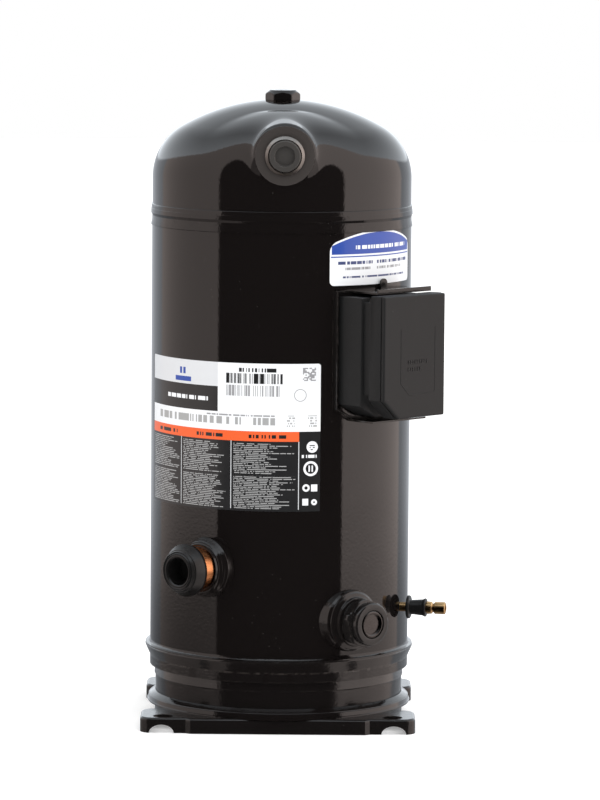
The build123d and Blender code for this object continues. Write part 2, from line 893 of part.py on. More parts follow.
with BuildPart() as terminal_tray:
    with BuildSketch(box_plane.offset(tray_back)):
        box_outline(-tray_edge, tray_cut_side, tray_cut_rise)
        box_outline(-tray_gap, tray_cut_side, tray_cut_rise, mode=Mode.SUBTRACT)
    extrude(amount=tray_rim - tray_back)
    with BuildSketch(box_plane.offset(tray_back)):
        with Locations((flap_side, box_high + tray_gap + tray_wall / 2)):
            Rectangle(2 * flap_half, tray_wall)
    extrude(amount=tray_top_reach - tray_back)
    with BuildSketch(box_plane.offset(tray_top_reach - tray_wall)):
        with Locations((flap_side, box_high + tray_gap + flap_lip / 2)):
            Rectangle(2 * flap_half, flap_lip)
    extrude(amount=tray_wall)
    with BuildSketch(box_plane.offset(tray_back)):
        with Locations((flap_side, box_low - tray_gap - tray_wall / 2)):
            Rectangle(2 * flap_half, tray_wall)
    extrude(amount=tray_bottom_reach - tray_back)
    shell_solid(saddle)
    with BuildSketch(box_plane.offset(shell_radius + 2)):
        with Locations((clip_side, box_high + tray_gap + clip_tall / 2)):
            RectangleRounded(clip_wide, clip_tall, clip_wide * 0.49)
    extrude(amount=tray_wall)
terminal_tray.part.label = "terminal_tray"
export_step(terminal_tray.part, "parts/terminal_tray.step")

with BuildPart() as terminal_cover:
    with BuildSketch(box_plane.offset(cover_back)):
        box_outline(0, box_cut_side, box_cut_rise * 0.65)
    extrude(amount=cover_skirt)
    with BuildSketch(box_plane.offset(groove_at)):
        box_outline(groove_depth, box_cut_side, box_cut_rise)
    extrude(amount=cover_groove)
    with BuildSketch(box_plane.offset(step_at)):
        box_outline(0, box_cut_side, box_cut_rise)
    extrude(amount=cover_step)
    with BuildSketch(box_plane.offset(lip_at)):
        box_outline(0.9, box_cut_side, box_cut_rise)
    extrude(amount=cover_lip)
    chamfer(terminal_cover.faces().sort_by(axis_of(box_plane))[-1].edges(), 1.0)
    with BuildSketch(box_plane.offset(cover_back)):
        box_outline(groove_depth + cover_wall, box_cut_side, box_cut_rise)
    extrude(amount=box_face - cover_wall - cover_back, mode=Mode.SUBTRACT)
    shell_solid(shell_radius + slide_gap)
    with BuildSketch(box_plane.offset(box_face)):
        with BuildLine() as panel:
            Polyline(
                (panel_left, panel_high),
                (panel_left, panel_low + panel_cut),
                (panel_left + panel_cut, panel_low),
                (panel_right, panel_low + 1),
                (panel_right, panel_high),
            )
        trace(panel.edges(), line_width=panel_line)
    extrude(amount=-panel_depth, mode=Mode.SUBTRACT)
terminal_cover.part.label = "terminal_cover"
export_step(terminal_cover.part, "parts/terminal_cover.step")

with BuildPart() as terminal_body:
    with BuildSketch(section_of(terminal_plane)):
        outline(
            (0, shell_radius - 3),
            (terminal_radius - 2.5, shell_radius - 3),
            (terminal_radius - 2.5, shell_inner - 3),
            (terminal_radius, shell_inner - 3),
            (terminal_radius, shell_radius),
            (0, shell_radius),
        )
    revolve(axis=axis_of(terminal_plane))
    with BuildSketch(terminal_plane.offset(shell_inner - 5)):
        with PolarLocations(terminal_pin_circle, 3, 90):
            Circle(terminal_pin_radius + seat_gap)
    extrude(amount=shell_wall + 6, mode=Mode.SUBTRACT)
terminal_body.part.label = "terminal_body"
export_step(terminal_body.part, "parts/terminal_body.step")

block_back = shell_radius + block_gap
with BuildPart() as terminal_pins:
    with BuildSketch(terminal_plane.offset(shell_inner - 16)):
        with PolarLocations(terminal_pin_circle, 3, 90):
            Circle(terminal_pin_radius)
    extrude(amount=16 + shell_wall + block_tall + 4)
terminal_pins.part.label = "terminal_pins"
export_step(terminal_pins.part, "parts/terminal_pins.step")

with BuildPart() as terminal_block:
    with BuildSketch(terminal_plane.offset(block_back)):
        RectangleRounded(block_wide, block_high, 4)
        with PolarLocations(terminal_pin_circle, 3, 90):
            Circle(terminal_pin_radius + seat_gap, mode=Mode.SUBTRACT)
    extrude(amount=block_tall)
    with BuildSketch(terminal_plane.offset(block_back + block_tall - block_pocket)):
        with PolarLocations(terminal_pin_circle, 3, 90):
            Circle(4.2)
    extrude(amount=block_pocket, mode=Mode.SUBTRACT)
terminal_block.part.label = "terminal_block"
export_step(terminal_block.part, "parts/terminal_block.step")

with BuildPart() as terminal_nuts:
    with BuildSketch(terminal_plane.offset(block_back + block_tall - block_pocket + 2 * seat_gap)):
        with PolarLocations(terminal_pin_circle, 3, 90):
            RegularPolygon(3.2, 6, major_radius=False)
            Circle(terminal_pin_radius + seat_gap, mode=Mode.SUBTRACT)
    extrude(amount=4)
terminal_nuts.part.label = "terminal_nuts"
export_step(terminal_nuts.part, "parts/terminal_nuts.step")

earth_plane = port_plane(box_bearing, box_bearing, 0, terminal_height + earth_rise)
with BuildPart() as earth_screw:
    with BuildSketch(earth_plane.offset(shell_radius + seat_gap)):
        with Locations((earth_side, 0)):
            Circle(earth_radius)
    extrude(amount=9)
    with BuildSketch(earth_plane.offset(shell_radius + 5)):
        with Locations((earth_side, 0)):
            RegularPolygon(earth_radius + 1.6, 6, major_radius=False)
    extrude(amount=4)
    shell_solid(saddle)
earth_screw.part.label = "earth_screw"
export_step(earth_screw.part, "parts/earth_screw.step")


# ================= labels =================

with BuildPart() as main_label:
    with BuildSketch(Plane.XZ.rotated((0, 0, label_left - 90))):
        with Locations((saddle + label_wall / 2, (label_low + label_high) / 2)):
            Rectangle(label_wall, label_high - label_low)
    revolve(axis=Axis.Z, revolution_arc=label_right - label_left)
main_label.part.label = "main_label"
export_step(main_label.part, "parts/main_label.step")

side_label_middle = (side_label_left + side_label_right) / 2
side_label_half = math.radians(side_label_right - side_label_left) / 2 * shell_radius
arch_radius = (side_label_half**2 + side_label_arch**2) / (2 * side_label_arch)
with BuildPart() as side_label:
    with BuildSketch(port_plane(side_label_middle, side_label_middle, 0, 0)):
        with BuildLine():
            foot_line = Line((-side_label_half, side_label_low), (side_label_half, side_label_low))
            right_line = Line(foot_line @ 1, (side_label_half, side_label_high - side_label_arch))
            arch = RadiusArc(
                right_line @ 1,
                (-side_label_half, side_label_high - side_label_arch),
                -arch_radius,
            )
            Line(arch @ 1, foot_line @ 0)
        flat = make_face()
        fillet(flat.vertices(), side_label_corner)
    extrude(amount=shell_radius + slide_gap + label_wall)
    with BuildSketch(front):
        wall_face(saddle, saddle + label_wall, side_label_low - 1, side_label_high + 1)
    revolve(axis=Axis.Z, mode=Mode.INTERSECT)
side_label.part.label = "side_label"
export_step(side_label.part, "parts/side_label.step")

# ================= motor =================

with BuildPart() as stator_core:
    with BuildSketch(Plane.XY.offset(stator_low)):
        Circle(shell_inner - seat_gap)
        Circle(stator_bore, mode=Mode.SUBTRACT)
        slot_long = slot_bottom - stator_bore + 1
        with PolarLocations(stator_bore - 1 + slot_long / 2, slot_count):
            Rectangle(slot_long, slot_width, mode=Mode.SUBTRACT)
        with PolarLocations(shell_inner, 4, 45):
            Rectangle(core_flat_wide, core_flat_long, mode=Mode.SUBTRACT)
    extrude(amount=stator_high - stator_low)
stator_core.part.label = "stator_core"
export_step(stator_core.part, "parts/stator_core.step")

leg_long = slot_bottom - end_turn_inner - slide_gap
with BuildPart() as stator_windings:
    with BuildSketch(Plane.XY.offset(stator_low - 1)):
        with PolarLocations(end_turn_inner + leg_long / 2, slot_count):
            Rectangle(leg_long, slot_width - 2 * slide_gap)
    extrude(amount=stator_high - stator_low + 2)
    for turn_low in (stator_low - end_turn - slide_gap, stator_high + slide_gap):
        with BuildSketch(front):
            with Locations(((end_turn_inner + end_turn_outer) / 2, turn_low + end_turn / 2)):
                RectangleRounded(end_turn_outer - end_turn_inner, end_turn, end_turn_round)
        revolve(axis=Axis.Z)
stator_windings.part.label = "stator_windings"
export_step(stator_windings.part, "parts/stator_windings.step")

cage_circle = (cage_outer + cage_inner) / 2
with BuildPart() as rotor_core:
    with BuildSketch(Plane.XY.offset(stator_low)):
        Circle(rotor_radius)
        Circle(shaft_radius + seat_gap, mode=Mode.SUBTRACT)
        with PolarLocations(cage_circle, cage_bars):
            Circle(cage_bar_radius + seat_gap, mode=Mode.SUBTRACT)
    extrude(amount=stator_high - stator_low)
rotor_core.part.label = "rotor_core"
export_step(rotor_core.part, "parts/rotor_core.step")

with BuildPart() as rotor_cage:
    with BuildSketch(Plane.XY.offset(stator_low - seat_gap)):
        with PolarLocations(cage_circle, cage_bars):
            Circle(cage_bar_radius)
    extrude(amount=stator_high - stator_low + 2 * seat_gap)
    with BuildSketch(Plane.XY.offset(stator_low - seat_gap - cage_ring)):
        Circle(cage_outer)
        Circle(cage_inner, mode=Mode.SUBTRACT)
    extrude(amount=cage_ring)
    with BuildSketch(Plane.XY.offset(stator_high + seat_gap)):
        Circle(cage_outer)
        Circle(cage_inner, mode=Mode.SUBTRACT)
    extrude(amount=cage_ring)
rotor_cage.part.label = "rotor_cage"
export_step(rotor_cage.part, "parts/rotor_cage.step")


def weight_sketch(side):
    """A half disc with a hub, on the front or the back of the shaft."""
    with BuildSketch(Plane.XY) as weight:
        Circle(weight_outer)
        with Locations((0, -side * weight_outer)):
            Rectangle(2 * weight_outer, 2 * weight_outer, mode=Mode.SUBTRACT)
        Circle(weight_hub)
        Circle(weight_inner, mode=Mode.SUBTRACT)
    return weight.sketch


upper_weight_low = stator_high + cage_ring + 2 * seat_gap
lower_weight_low = stator_low - cage_ring - 2 * seat_gap - weight_tall
with BuildPart() as upper_counterweight:
    with BuildSketch(Plane.XY.offset(upper_weight_low)):
        add(weight_sketch(-1))
    extrude(amount=weight_tall)
upper_counterweight.part.label = "upper_counterweight"
export_step(upper_counterweight.part, "parts/upper_counterweight.step")

with BuildPart() as lower_counterweight:
    with BuildSketch(Plane.XY.offset(lower_weight_low)):
        add(weight_sketch(1))
    extrude(amount=weight_tall)
lower_counterweight.part.label = "lower_counterweight"
export_step(lower_counterweight.part, "parts/lower_counterweight.step")

# ================= shaft and bearings =================

journal_top = cavity_floor + 4
with BuildPart() as crankshaft:
    with BuildSketch(front):
        outline(
            (0, shaft_low),
            (lower_journal, shaft_low),
            (lower_journal, lower_journal_top),
            (shaft_radius, lower_journal_top + 3),
            (shaft_radius, main_bearing_low - 2),
            (main_journal, main_bearing_low - 2),
            (main_journal, journal_top),
            (0, journal_top),
        )
    revolve(axis=Axis.Z)
    with BuildSketch(Plane.XY.offset(journal_top)):
        with Locations((0, orbit)):
            Circle(pin_radius)
    extrude(amount=pin_top - journal_top)
    with BuildSketch(Plane.XY.offset(shaft_low)):
        with Locations((0, orbit)):
            Circle(oil_gallery)
    extrude(amount=pin_top - shaft_low, mode=Mode.SUBTRACT)
crankshaft.part.label = "crankshaft"
export_step(crankshaft.part, "parts/crankshaft.step")

bush_radius = hub_radius - bearing_wall - 2 * run_gap - bush_wall
hub_low = thrust_height + oil_film - hub_length
with BuildPart() as drive_bush:
    with BuildSketch(Plane.XY.offset(hub_low + 1)):
        with Locations((0, orbit)):
            Circle(bush_radius)
            Circle(pin_radius + seat_gap, mode=Mode.SUBTRACT)
    extrude(amount=pin_top - hub_low - 2)
drive_bush.part.label = "drive_bush"
export_step(drive_bush.part, "parts/drive_bush.step")

with BuildPart() as oil_pickup:
    with BuildSketch(front):
        outline(
            (pickup_bore, shaft_low - pickup_drop),
            (pickup_tip, shaft_low - pickup_drop),
            (lower_journal + 1.5, shaft_low - 4),
            (lower_journal + 1.5, shaft_low + 5),
            (lower_journal + seat_gap, shaft_low + 5),
            (lower_journal + seat_gap, shaft_low - seat_gap),
            (lower_journal - 1, shaft_low - seat_gap),
            (pickup_bore, shaft_low - pickup_drop + 6),
        )
    revolve(axis=Axis.Z)
oil_pickup.part.label = "oil_pickup"
export_step(oil_pickup.part, "parts/oil_pickup.step")

lower_hub_low = shaft_low + 8
lower_hub_high = lower_journal_top - 4
lower_bush_radius = lower_journal + run_gap + bearing_wall
with BuildPart() as lower_bearing_bush:
    with BuildSketch(Plane.XY.offset(lower_hub_low)):
        Circle(lower_bush_radius)
        Circle(lower_journal + run_gap, mode=Mode.SUBTRACT)
    extrude(amount=lower_hub_high - lower_hub_low)
lower_bearing_bush.part.label = "lower_bearing_bush"
export_step(lower_bearing_bush.part, "parts/lower_bearing_bush.step")

with BuildPart() as lower_bearing_housing:
    with BuildSketch(Plane.XY.offset(lower_hub_low)):
        Circle(lower_hub_radius)
    extrude(amount=lower_hub_high - lower_hub_low)
    with BuildSketch(Plane.XY.offset(lower_hub_low + 10)):
        Circle(shell_inner - seat_gap)
        with PolarLocations(shell_inner * 0.62, 3, 30):
            Rectangle(shell_inner, spider_wide)
        Circle(shell_inner - seat_gap, mode=Mode.INTERSECT)
        with PolarLocations(0, 3, 90):
            with Locations((shell_inner * 0.61, 0)):
                SlotOverall(spider_slot_long, spider_slot_wide, mode=Mode.SUBTRACT)
    extrude(amount=spider_thick)
    with BuildSketch(Plane.XY.offset(lower_hub_low - 1)):
        Circle(lower_bush_radius + seat_gap)
    extrude(amount=lower_hub_high - lower_hub_low + 2, mode=Mode.SUBTRACT)
lower_bearing_housing.part.label = "lower_bearing_housing"
export_step(lower_bearing_housing.part, "parts/lower_bearing_housing.step")

main_bush_radius = main_journal + run_gap + bearing_wall
with BuildPart() as main_bearing_bush:
    with BuildSketch(Plane.XY.offset(main_bearing_low)):
        Circle(main_bush_radius)
        Circle(main_journal + run_gap, mode=Mode.SUBTRACT)
    extrude(amount=cavity_floor - main_bearing_low)
main_bearing_bush.part.label = "main_bearing_bush"
export_step(main_bearing_bush.part, "parts/main_bearing_bush.step")

rim_low = thrust_height - rim_depth
recess_floor = thrust_height - recess_depth
oldham_low = recess_floor + 1
with BuildPart() as main_bearing_housing:
    with BuildSketch(front):
        outline(
            (main_bush_radius + seat_gap, main_bearing_low),
            (main_bush_radius + 9, main_bearing_low),
            (cavity_radius + 8, cavity_floor - 6),
            (cavity_radius + 8, rim_low - 10),
            (pad_radius, rim_low),
            (rim_radius, rim_low),
            (rim_radius, thrust_height),
            (recess_radius, thrust_height),
            (recess_radius, recess_floor),
            (pad_radius, recess_floor),
            (pad_radius, thrust_height),
            (cavity_radius, thrust_height),
            (cavity_radius, cavity_floor),
            (main_bush_radius + seat_gap, cavity_floor),
        )
    revolve(axis=Axis.Z)
    with BuildSketch(Plane.XY.offset(rim_low)):
        with PolarLocations((rim_radius + shell_inner) / 2 - 4, 4):
            Rectangle(shell_inner - rim_radius + 8, arm_width)
        Circle(shell_inner - seat_gap, mode=Mode.INTERSECT)
        Circle(rim_radius - 4, mode=Mode.SUBTRACT)
    extrude(amount=rim_depth)
    with BuildSketch(Plane.XY.offset(recess_floor)):
        with GridLocations(2 * key_centre, 1, 2, 1):
            Rectangle(key_long + 2 * orbit + 2 * slide_gap, key_wide + 2 * run_gap)
    extrude(amount=-(key_tall - 1 + slide_gap), mode=Mode.SUBTRACT)
    with BuildSketch(Plane.XY.offset(thrust_height)):
        with PolarLocations(bolt_circle, 6, 30):
            Circle(bolt_radius + seat_gap)
    extrude(amount=-rim_depth, mode=Mode.SUBTRACT)
main_bearing_housing.part.label = "main_bearing_housing"
export_step(main_bearing_housing.part, "parts/main_bearing_housing.step")

with BuildPart() as oldham_ring:
    with BuildSketch(Plane.XY.offset(oldham_low)):
        Circle(oldham_outer)
        Circle(oldham_inner, mode=Mode.SUBTRACT)
    extrude(amount=oldham_thick)
    with BuildSketch(Plane.XY.offset(oldham_low)):
        with GridLocations(2 * key_centre, 1, 2, 1):
            Rectangle(key_long, key_wide)
    extrude(amount=-key_tall)
    with BuildSketch(Plane.XY.offset(oldham_low + oldham_thick)):
        with GridLocations(1, 2 * key_centre, 1, 2):
            Rectangle(key_wide, key_long)
    extrude(amount=thrust_height + oil_film + key_tall - oldham_low - oldham_thick)
oldham_ring.part.label = "oldham_ring"
export_step(oldham_ring.part, "parts/oldham_ring.step")


# ================= scroll pair =================

def wrap_sketch(turn):
    """A spiral wall of half circles, each one half pitch wider, centred either side in turn."""
    with BuildSketch(Plane.XY) as wrap:
        for half in range(wrap_turns):
            upper = half % 2 == 1
            middle = -half_pitch / 2 if upper else half_pitch / 2
            radius = wrap_start + half * half_pitch
            with BuildLine() as run:
                start = 0 if upper else 180
                outer_arc = CenterArc((middle, 0), radius + wrap_wall / 2, start, 180)
                inner_arc = CenterArc((middle, 0), radius - wrap_wall / 2, start, 180)
                Line(outer_arc @ 0, inner_arc @ 0)
                Line(outer_arc @ 1, inner_arc @ 1)
            make_face(run.edges())
        with Locations((half_pitch / 2 - wrap_start, 0)):
            Circle(wrap_wall / 2)
    return wrap.sketch.rotate(Axis.Z, turn)


plate_low = thrust_height + oil_film
wrap_low = plate_low + plate_thick
wrap_tip = wrap_low + wrap_height
with BuildPart() as orbiting_scroll:
    with BuildSketch(Plane.XY.offset(plate_low)):
        with Locations((0, orbit)):
            Circle(orbit_plate_radius)
    extrude(amount=plate_thick)
    with BuildSketch(Plane.XY.offset(wrap_low)):
        add(wrap_sketch(180).translate((0, orbit, 0)))
    extrude(amount=wrap_height - slide_gap)
    with BuildSketch(Plane.XY.offset(plate_low)):
        with Locations((0, orbit)):
            Circle(hub_radius)
            Circle(bush_radius + run_gap + bearing_wall + seat_gap, mode=Mode.SUBTRACT)
    extrude(amount=-hub_length)
    with BuildSketch(Plane.XY.offset(plate_low)):
        with Locations((0, orbit + key_centre), (0, orbit - key_centre)):
            Rectangle(key_wide + 2 * orbit + 2 * slide_gap, key_long + 2 * orbit + 2 * slide_gap)
    extrude(amount=key_tall + slide_gap, mode=Mode.SUBTRACT)
orbiting_scroll.part.label = "orbiting_scroll"
export_step(orbiting_scroll.part, "parts/orbiting_scroll.step")

with BuildPart() as orbit_bearing:
    with BuildSketch(Plane.XY.offset(plate_low - hub_length)):
        with Locations((0, orbit)):
            Circle(bush_radius + run_gap + bearing_wall)
            Circle(bush_radius + run_gap, mode=Mode.SUBTRACT)
    extrude(amount=hub_length - 1)
orbit_bearing.part.label = "orbit_bearing"
export_step(orbit_bearing.part, "parts/orbit_bearing.step")

fixed_top = wrap_tip + fixed_plate
with BuildPart() as fixed_scroll:
    with BuildSketch(Plane.XY.offset(wrap_tip)):
        Circle(rim_radius)
    extrude(amount=fixed_plate)
    with BuildSketch(Plane.XY.offset(thrust_height)):
        Circle(rim_radius)
        Circle(recess_radius, mode=Mode.SUBTRACT)
    extrude(amount=wrap_tip - thrust_height)
    with BuildSketch(Plane.XY.offset(wrap_low + slide_gap)):
        add(wrap_sketch(0))
    extrude(amount=wrap_height - slide_gap)
    with BuildSketch(Plane.XY.offset(fixed_top)):
        Circle(seal_outer)
        Circle(seal_inner, mode=Mode.SUBTRACT)
    extrude(amount=-seal_depth, mode=Mode.SUBTRACT)
    with BuildSketch(Plane.XY.offset(wrap_tip)):
        Circle(discharge_port)
    extrude(amount=fixed_plate, mode=Mode.SUBTRACT)
    with BuildSketch(Plane.XY.offset(thrust_height)):
        with PolarLocations(bolt_circle, 6, 30):
            Circle(bolt_radius + bolt_slack)
    extrude(amount=fixed_top - thrust_height, mode=Mode.SUBTRACT)
    with BuildSketch(Plane.XZ.offset(recess_radius - 2)):
        with Locations((0, (plate_low + wrap_tip) / 2)):
            Rectangle(inlet_wide, wrap_height - 2 * inlet_margin)
    extrude(amount=rim_radius, mode=Mode.SUBTRACT)
fixed_scroll.part.label = "fixed_scroll"
export_step(fixed_scroll.part, "parts/fixed_scroll.step")

with BuildPart() as scroll_bolts:
    with BuildSketch(Plane.XY.offset(rim_low + 2)):
        with PolarLocations(bolt_circle, 6, 30):
            Circle(bolt_radius)
    extrude(amount=fixed_top - rim_low)
    with BuildSketch(Plane.XY.offset(fixed_top + seat_gap)):
        with PolarLocations(bolt_circle, 6, 30):
            RegularPolygon(bolt_radius + 1.6, 6, major_radius=False)
    extrude(amount=bolt_head)
scroll_bolts.part.label = "scroll_bolts"
export_step(scroll_bolts.part, "parts/scroll_bolts.step")

seal_low = fixed_top - seal_depth + slide_gap
seal_high = tube_top - muffler_step - seal_lift - seal_fit
with BuildPart() as floating_seal:
    with BuildSketch(front):
        outline(
            (seal_inner + seal_fit, seal_low),
            (seal_outer - seal_fit, seal_low),
            (seal_outer - seal_fit, fixed_top - 1),
            (seal_inner + 8, fixed_top - 1),
            (seal_inner + 4, seal_high),
            (seal_inner + seal_fit, seal_high),
        )
    revolve(axis=Axis.Z)
floating_seal.part.label = "floating_seal"
export_step(floating_seal.part, "parts/floating_seal.step")

with BuildPart() as check_disc:
    with BuildSketch(Plane.XY.offset(fixed_top + seat_gap)):
        Circle(check_disc_radius)
    extrude(amount=check_disc_thick)
check_disc.part.label = "check_disc"
export_step(check_disc.part, "parts/check_disc.step")

guard_roof = fixed_top + check_disc_thick + check_lift + slide_gap
with BuildPart() as check_valve_guard:
    with BuildSketch(Plane.XY.offset(fixed_top + seat_gap)):
        Circle(guard_radius)
        Circle(check_disc_radius + slide_gap, mode=Mode.SUBTRACT)
    extrude(amount=guard_roof - fixed_top - seat_gap)
    with BuildSketch(Plane.XY.offset(guard_roof)):
        Circle(guard_radius)
    extrude(amount=guard_roof_thick)
    with BuildSketch(Plane.XY.offset(fixed_top)):
        with PolarLocations(guard_radius - 3, 4):
            Rectangle(12, guard_slot)
    extrude(amount=guard_roof - fixed_top, mode=Mode.SUBTRACT)
    with BuildSketch(Plane.XY.offset(guard_roof)):
        with PolarLocations(guard_hole_circle, 4, 45):
            Circle(guard_hole)
    extrude(amount=guard_roof_thick, mode=Mode.SUBTRACT)
check_valve_guard.part.label = "check_valve_guard"
export_step(check_valve_guard.part, "parts/check_valve_guard.step")

with BuildPart() as relief_valve:
    with BuildSketch(Plane.XY.offset(tube_top - muffler_wall)):
        with PolarLocations(shell_inner - relief_inset, 1, relief_bearing):
            Circle(relief_radius)
            Circle(relief_bore, mode=Mode.SUBTRACT)
    extrude(amount=4 * muffler_wall)
    with BuildSketch(Plane.XY.offset(tube_top + muffler_wall + seat_gap)):
        with PolarLocations(shell_inner - relief_inset, 1, relief_bearing):
            RegularPolygon(relief_flats / 2, 6, major_radius=False)
            Circle(relief_bore, mode=Mode.SUBTRACT)
    extrude(amount=relief_head)
relief_valve.part.label = "relief_valve"
export_step(relief_valve.part, "parts/relief_valve.step")

with BuildPart() as sump_magnet:
    with BuildSketch(Plane.XY.offset(base_height + cap_wall + seat_gap)):
        with Locations((magnet_reach, 0)):
            Circle(magnet_radius)
            Circle(magnet_bore, mode=Mode.SUBTRACT)
    extrude(amount=magnet_thick)
sump_magnet.part.label = "sump_magnet"
export_step(sump_magnet.part, "parts/sump_magnet.step")
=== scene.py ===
import json
import math
import bmesh
import bpy
import numpy as np
from mathutils import Matrix, Vector


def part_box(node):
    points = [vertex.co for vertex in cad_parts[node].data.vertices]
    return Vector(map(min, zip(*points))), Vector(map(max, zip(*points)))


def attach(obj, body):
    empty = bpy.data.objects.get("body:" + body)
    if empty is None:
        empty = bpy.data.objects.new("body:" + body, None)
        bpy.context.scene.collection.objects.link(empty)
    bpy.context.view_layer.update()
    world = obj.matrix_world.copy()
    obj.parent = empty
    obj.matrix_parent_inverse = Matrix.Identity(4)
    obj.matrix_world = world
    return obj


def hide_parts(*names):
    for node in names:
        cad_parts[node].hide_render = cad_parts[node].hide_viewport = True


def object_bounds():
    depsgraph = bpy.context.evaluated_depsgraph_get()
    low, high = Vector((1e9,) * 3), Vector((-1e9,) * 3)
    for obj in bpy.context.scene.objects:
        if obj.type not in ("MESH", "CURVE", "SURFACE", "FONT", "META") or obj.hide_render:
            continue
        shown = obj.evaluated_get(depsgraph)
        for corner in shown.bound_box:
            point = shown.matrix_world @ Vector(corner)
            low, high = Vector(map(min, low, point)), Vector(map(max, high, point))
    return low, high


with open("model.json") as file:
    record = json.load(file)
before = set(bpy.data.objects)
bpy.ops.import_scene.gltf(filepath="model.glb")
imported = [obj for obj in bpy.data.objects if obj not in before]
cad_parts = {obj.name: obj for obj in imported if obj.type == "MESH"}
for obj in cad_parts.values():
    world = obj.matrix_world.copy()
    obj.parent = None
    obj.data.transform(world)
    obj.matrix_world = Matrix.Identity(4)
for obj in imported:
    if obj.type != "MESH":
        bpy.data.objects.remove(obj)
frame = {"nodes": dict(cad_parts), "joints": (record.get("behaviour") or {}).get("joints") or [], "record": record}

# Metres. +Z is up along the shell's axis, the floor is z = 0, the front is -Y.
# A bearing is the angle round the shell from the front (-Y), positive towards +X.
cad_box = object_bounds()
mm = 0.001

# ---- sizes shared by more than one piece ----
shell_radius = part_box("shell_tube")[1].x
tube_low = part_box("shell_tube")[0].z
tube_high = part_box("shell_tube")[1].z
cap_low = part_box("top_cap")[0].z
cap_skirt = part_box("top_cap")[1].x
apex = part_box("top_cap")[1].z
floor_level = cad_box[0].z
wall = 4.0 * mm
gap = 0.05 * mm


# ================= building meshes =================

def joint_named(name):
    """The joint's entry in the frame."""
    return next(joint for joint in frame["joints"] if joint["name"] == name)


def middle_of(node):
    """The middle of a node's box."""
    low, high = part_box(node)
    return (low + high) / 2


def seat(origin, out):
    """A place whose local z points out along a port, local x is level and local y is up."""
    out = Vector(out).normalized()
    level = Vector((-out.y, out.x, 0)).normalized()
    up = out.cross(level)
    place = Matrix((level, up, out)).transposed().to_4x4()
    place.translation = origin
    return place


def finished(name, vertices, faces, material, body, slot, *nodes, sharp=38, solid=True):
    """Makes the mesh a piece: outward faces, smooth shading with sharp corners kept, and its body. The slot is not
    used.
    """
    mesh = bpy.data.meshes.new(name)
    mesh.from_pydata([tuple(v) for v in vertices], [], [tuple(f) for f in faces])
    if solid:
        work = bmesh.new()
        work.from_mesh(mesh)
        bmesh.ops.remove_doubles(work, verts=work.verts, dist=1e-7)
        bmesh.ops.recalc_face_normals(work, faces=work.faces)
        work.to_mesh(mesh)
        work.free()
    mesh.shade_smooth()
    mesh.set_sharp_from_angle(angle=math.radians(sharp))
    return settled(name, mesh, material, body, slot, *nodes)


def settled(name, mesh, material, body, slot, *nodes):
    """Puts a finished mesh in the scene on its body, standing for its CAD nodes."""
    piece = bpy.data.objects.new(name, mesh)
    bpy.context.scene.collection.objects.link(piece)
    mesh.materials.clear()
    mesh.materials.append(material)
    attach(piece, body)
    if nodes:
        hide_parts(*nodes)
    return piece


def rounded(points, steps=5):
    """A closed outline in millimetres, its corners rounded where a point has a third number, its radius."""
    path = []
    count = len(points)
    for index, point in enumerate(points):
        here = Vector(point[:2])
        radius = point[2] if len(point) > 2 else 0
        if not radius:
            path.append(here)
            continue
        before = (Vector(points[index - 1][:2]) - here).normalized()
        after = (Vector(points[(index + 1) % count][:2]) - here).normalized()
        half = before.angle(after) / 2
        back = radius / math.tan(half)
        centre = here + (before + after).normalized() * (radius / math.sin(half))
        start = here + before * back - centre
        end = here + after * back - centre
        for step in range(steps + 1):
            path.append(centre + start.slerp(end, step / steps))
    return path


def turned(name, place, outline, material, body, slot, *nodes, around=96, wave=None, sharp=38):
    """An outline of (radius, distance along the axis) in millimetres, turned round a place's axis."""
    angles = [2 * math.pi * k / around for k in range(around)]
    vertices, rings = [], []
    for index, point in enumerate(outline):
        if point[0] < 1e-6:
            rings.append([len(vertices)] * around)
            vertices.append(place @ Vector((0, 0, point[1] * mm)))
            continue
        rings.append(list(range(len(vertices), len(vertices) + around)))
        for angle in angles:
            swell = wave(index, angle) if wave else 0
            reach = (point[0] + swell) * mm
            spot = Vector((reach * math.cos(angle), reach * math.sin(angle), point[1] * mm))
            vertices.append(place @ spot)
    faces = []
    for here, there in zip(rings, rings[1:] + rings[:1]):
        for k in range(around):
            corners = [here[k], here[(k + 1) % around], there[(k + 1) % around], there[k]]
            corners = list(dict.fromkeys(corners))
            if len(corners) > 2:
                faces.append(corners)
    return finished(name, vertices, faces, material, body, slot, *nodes, sharp=sharp)


def flats_cut(outline, flats, turn=0.0, soft=0.35):
    """A wave for a turned piece that cuts six flats across it and eases the corners between them."""
    def cut(index, angle):
        off = (math.degrees(angle) - turn + 30) % 60 - 30
        side = flats / 2 / math.cos(math.radians(off))
        side -= soft * max(0.0, 1 - (30 - abs(off)) / 4) ** 2
        return min(0.0, side - outline[index][0])

    return cut


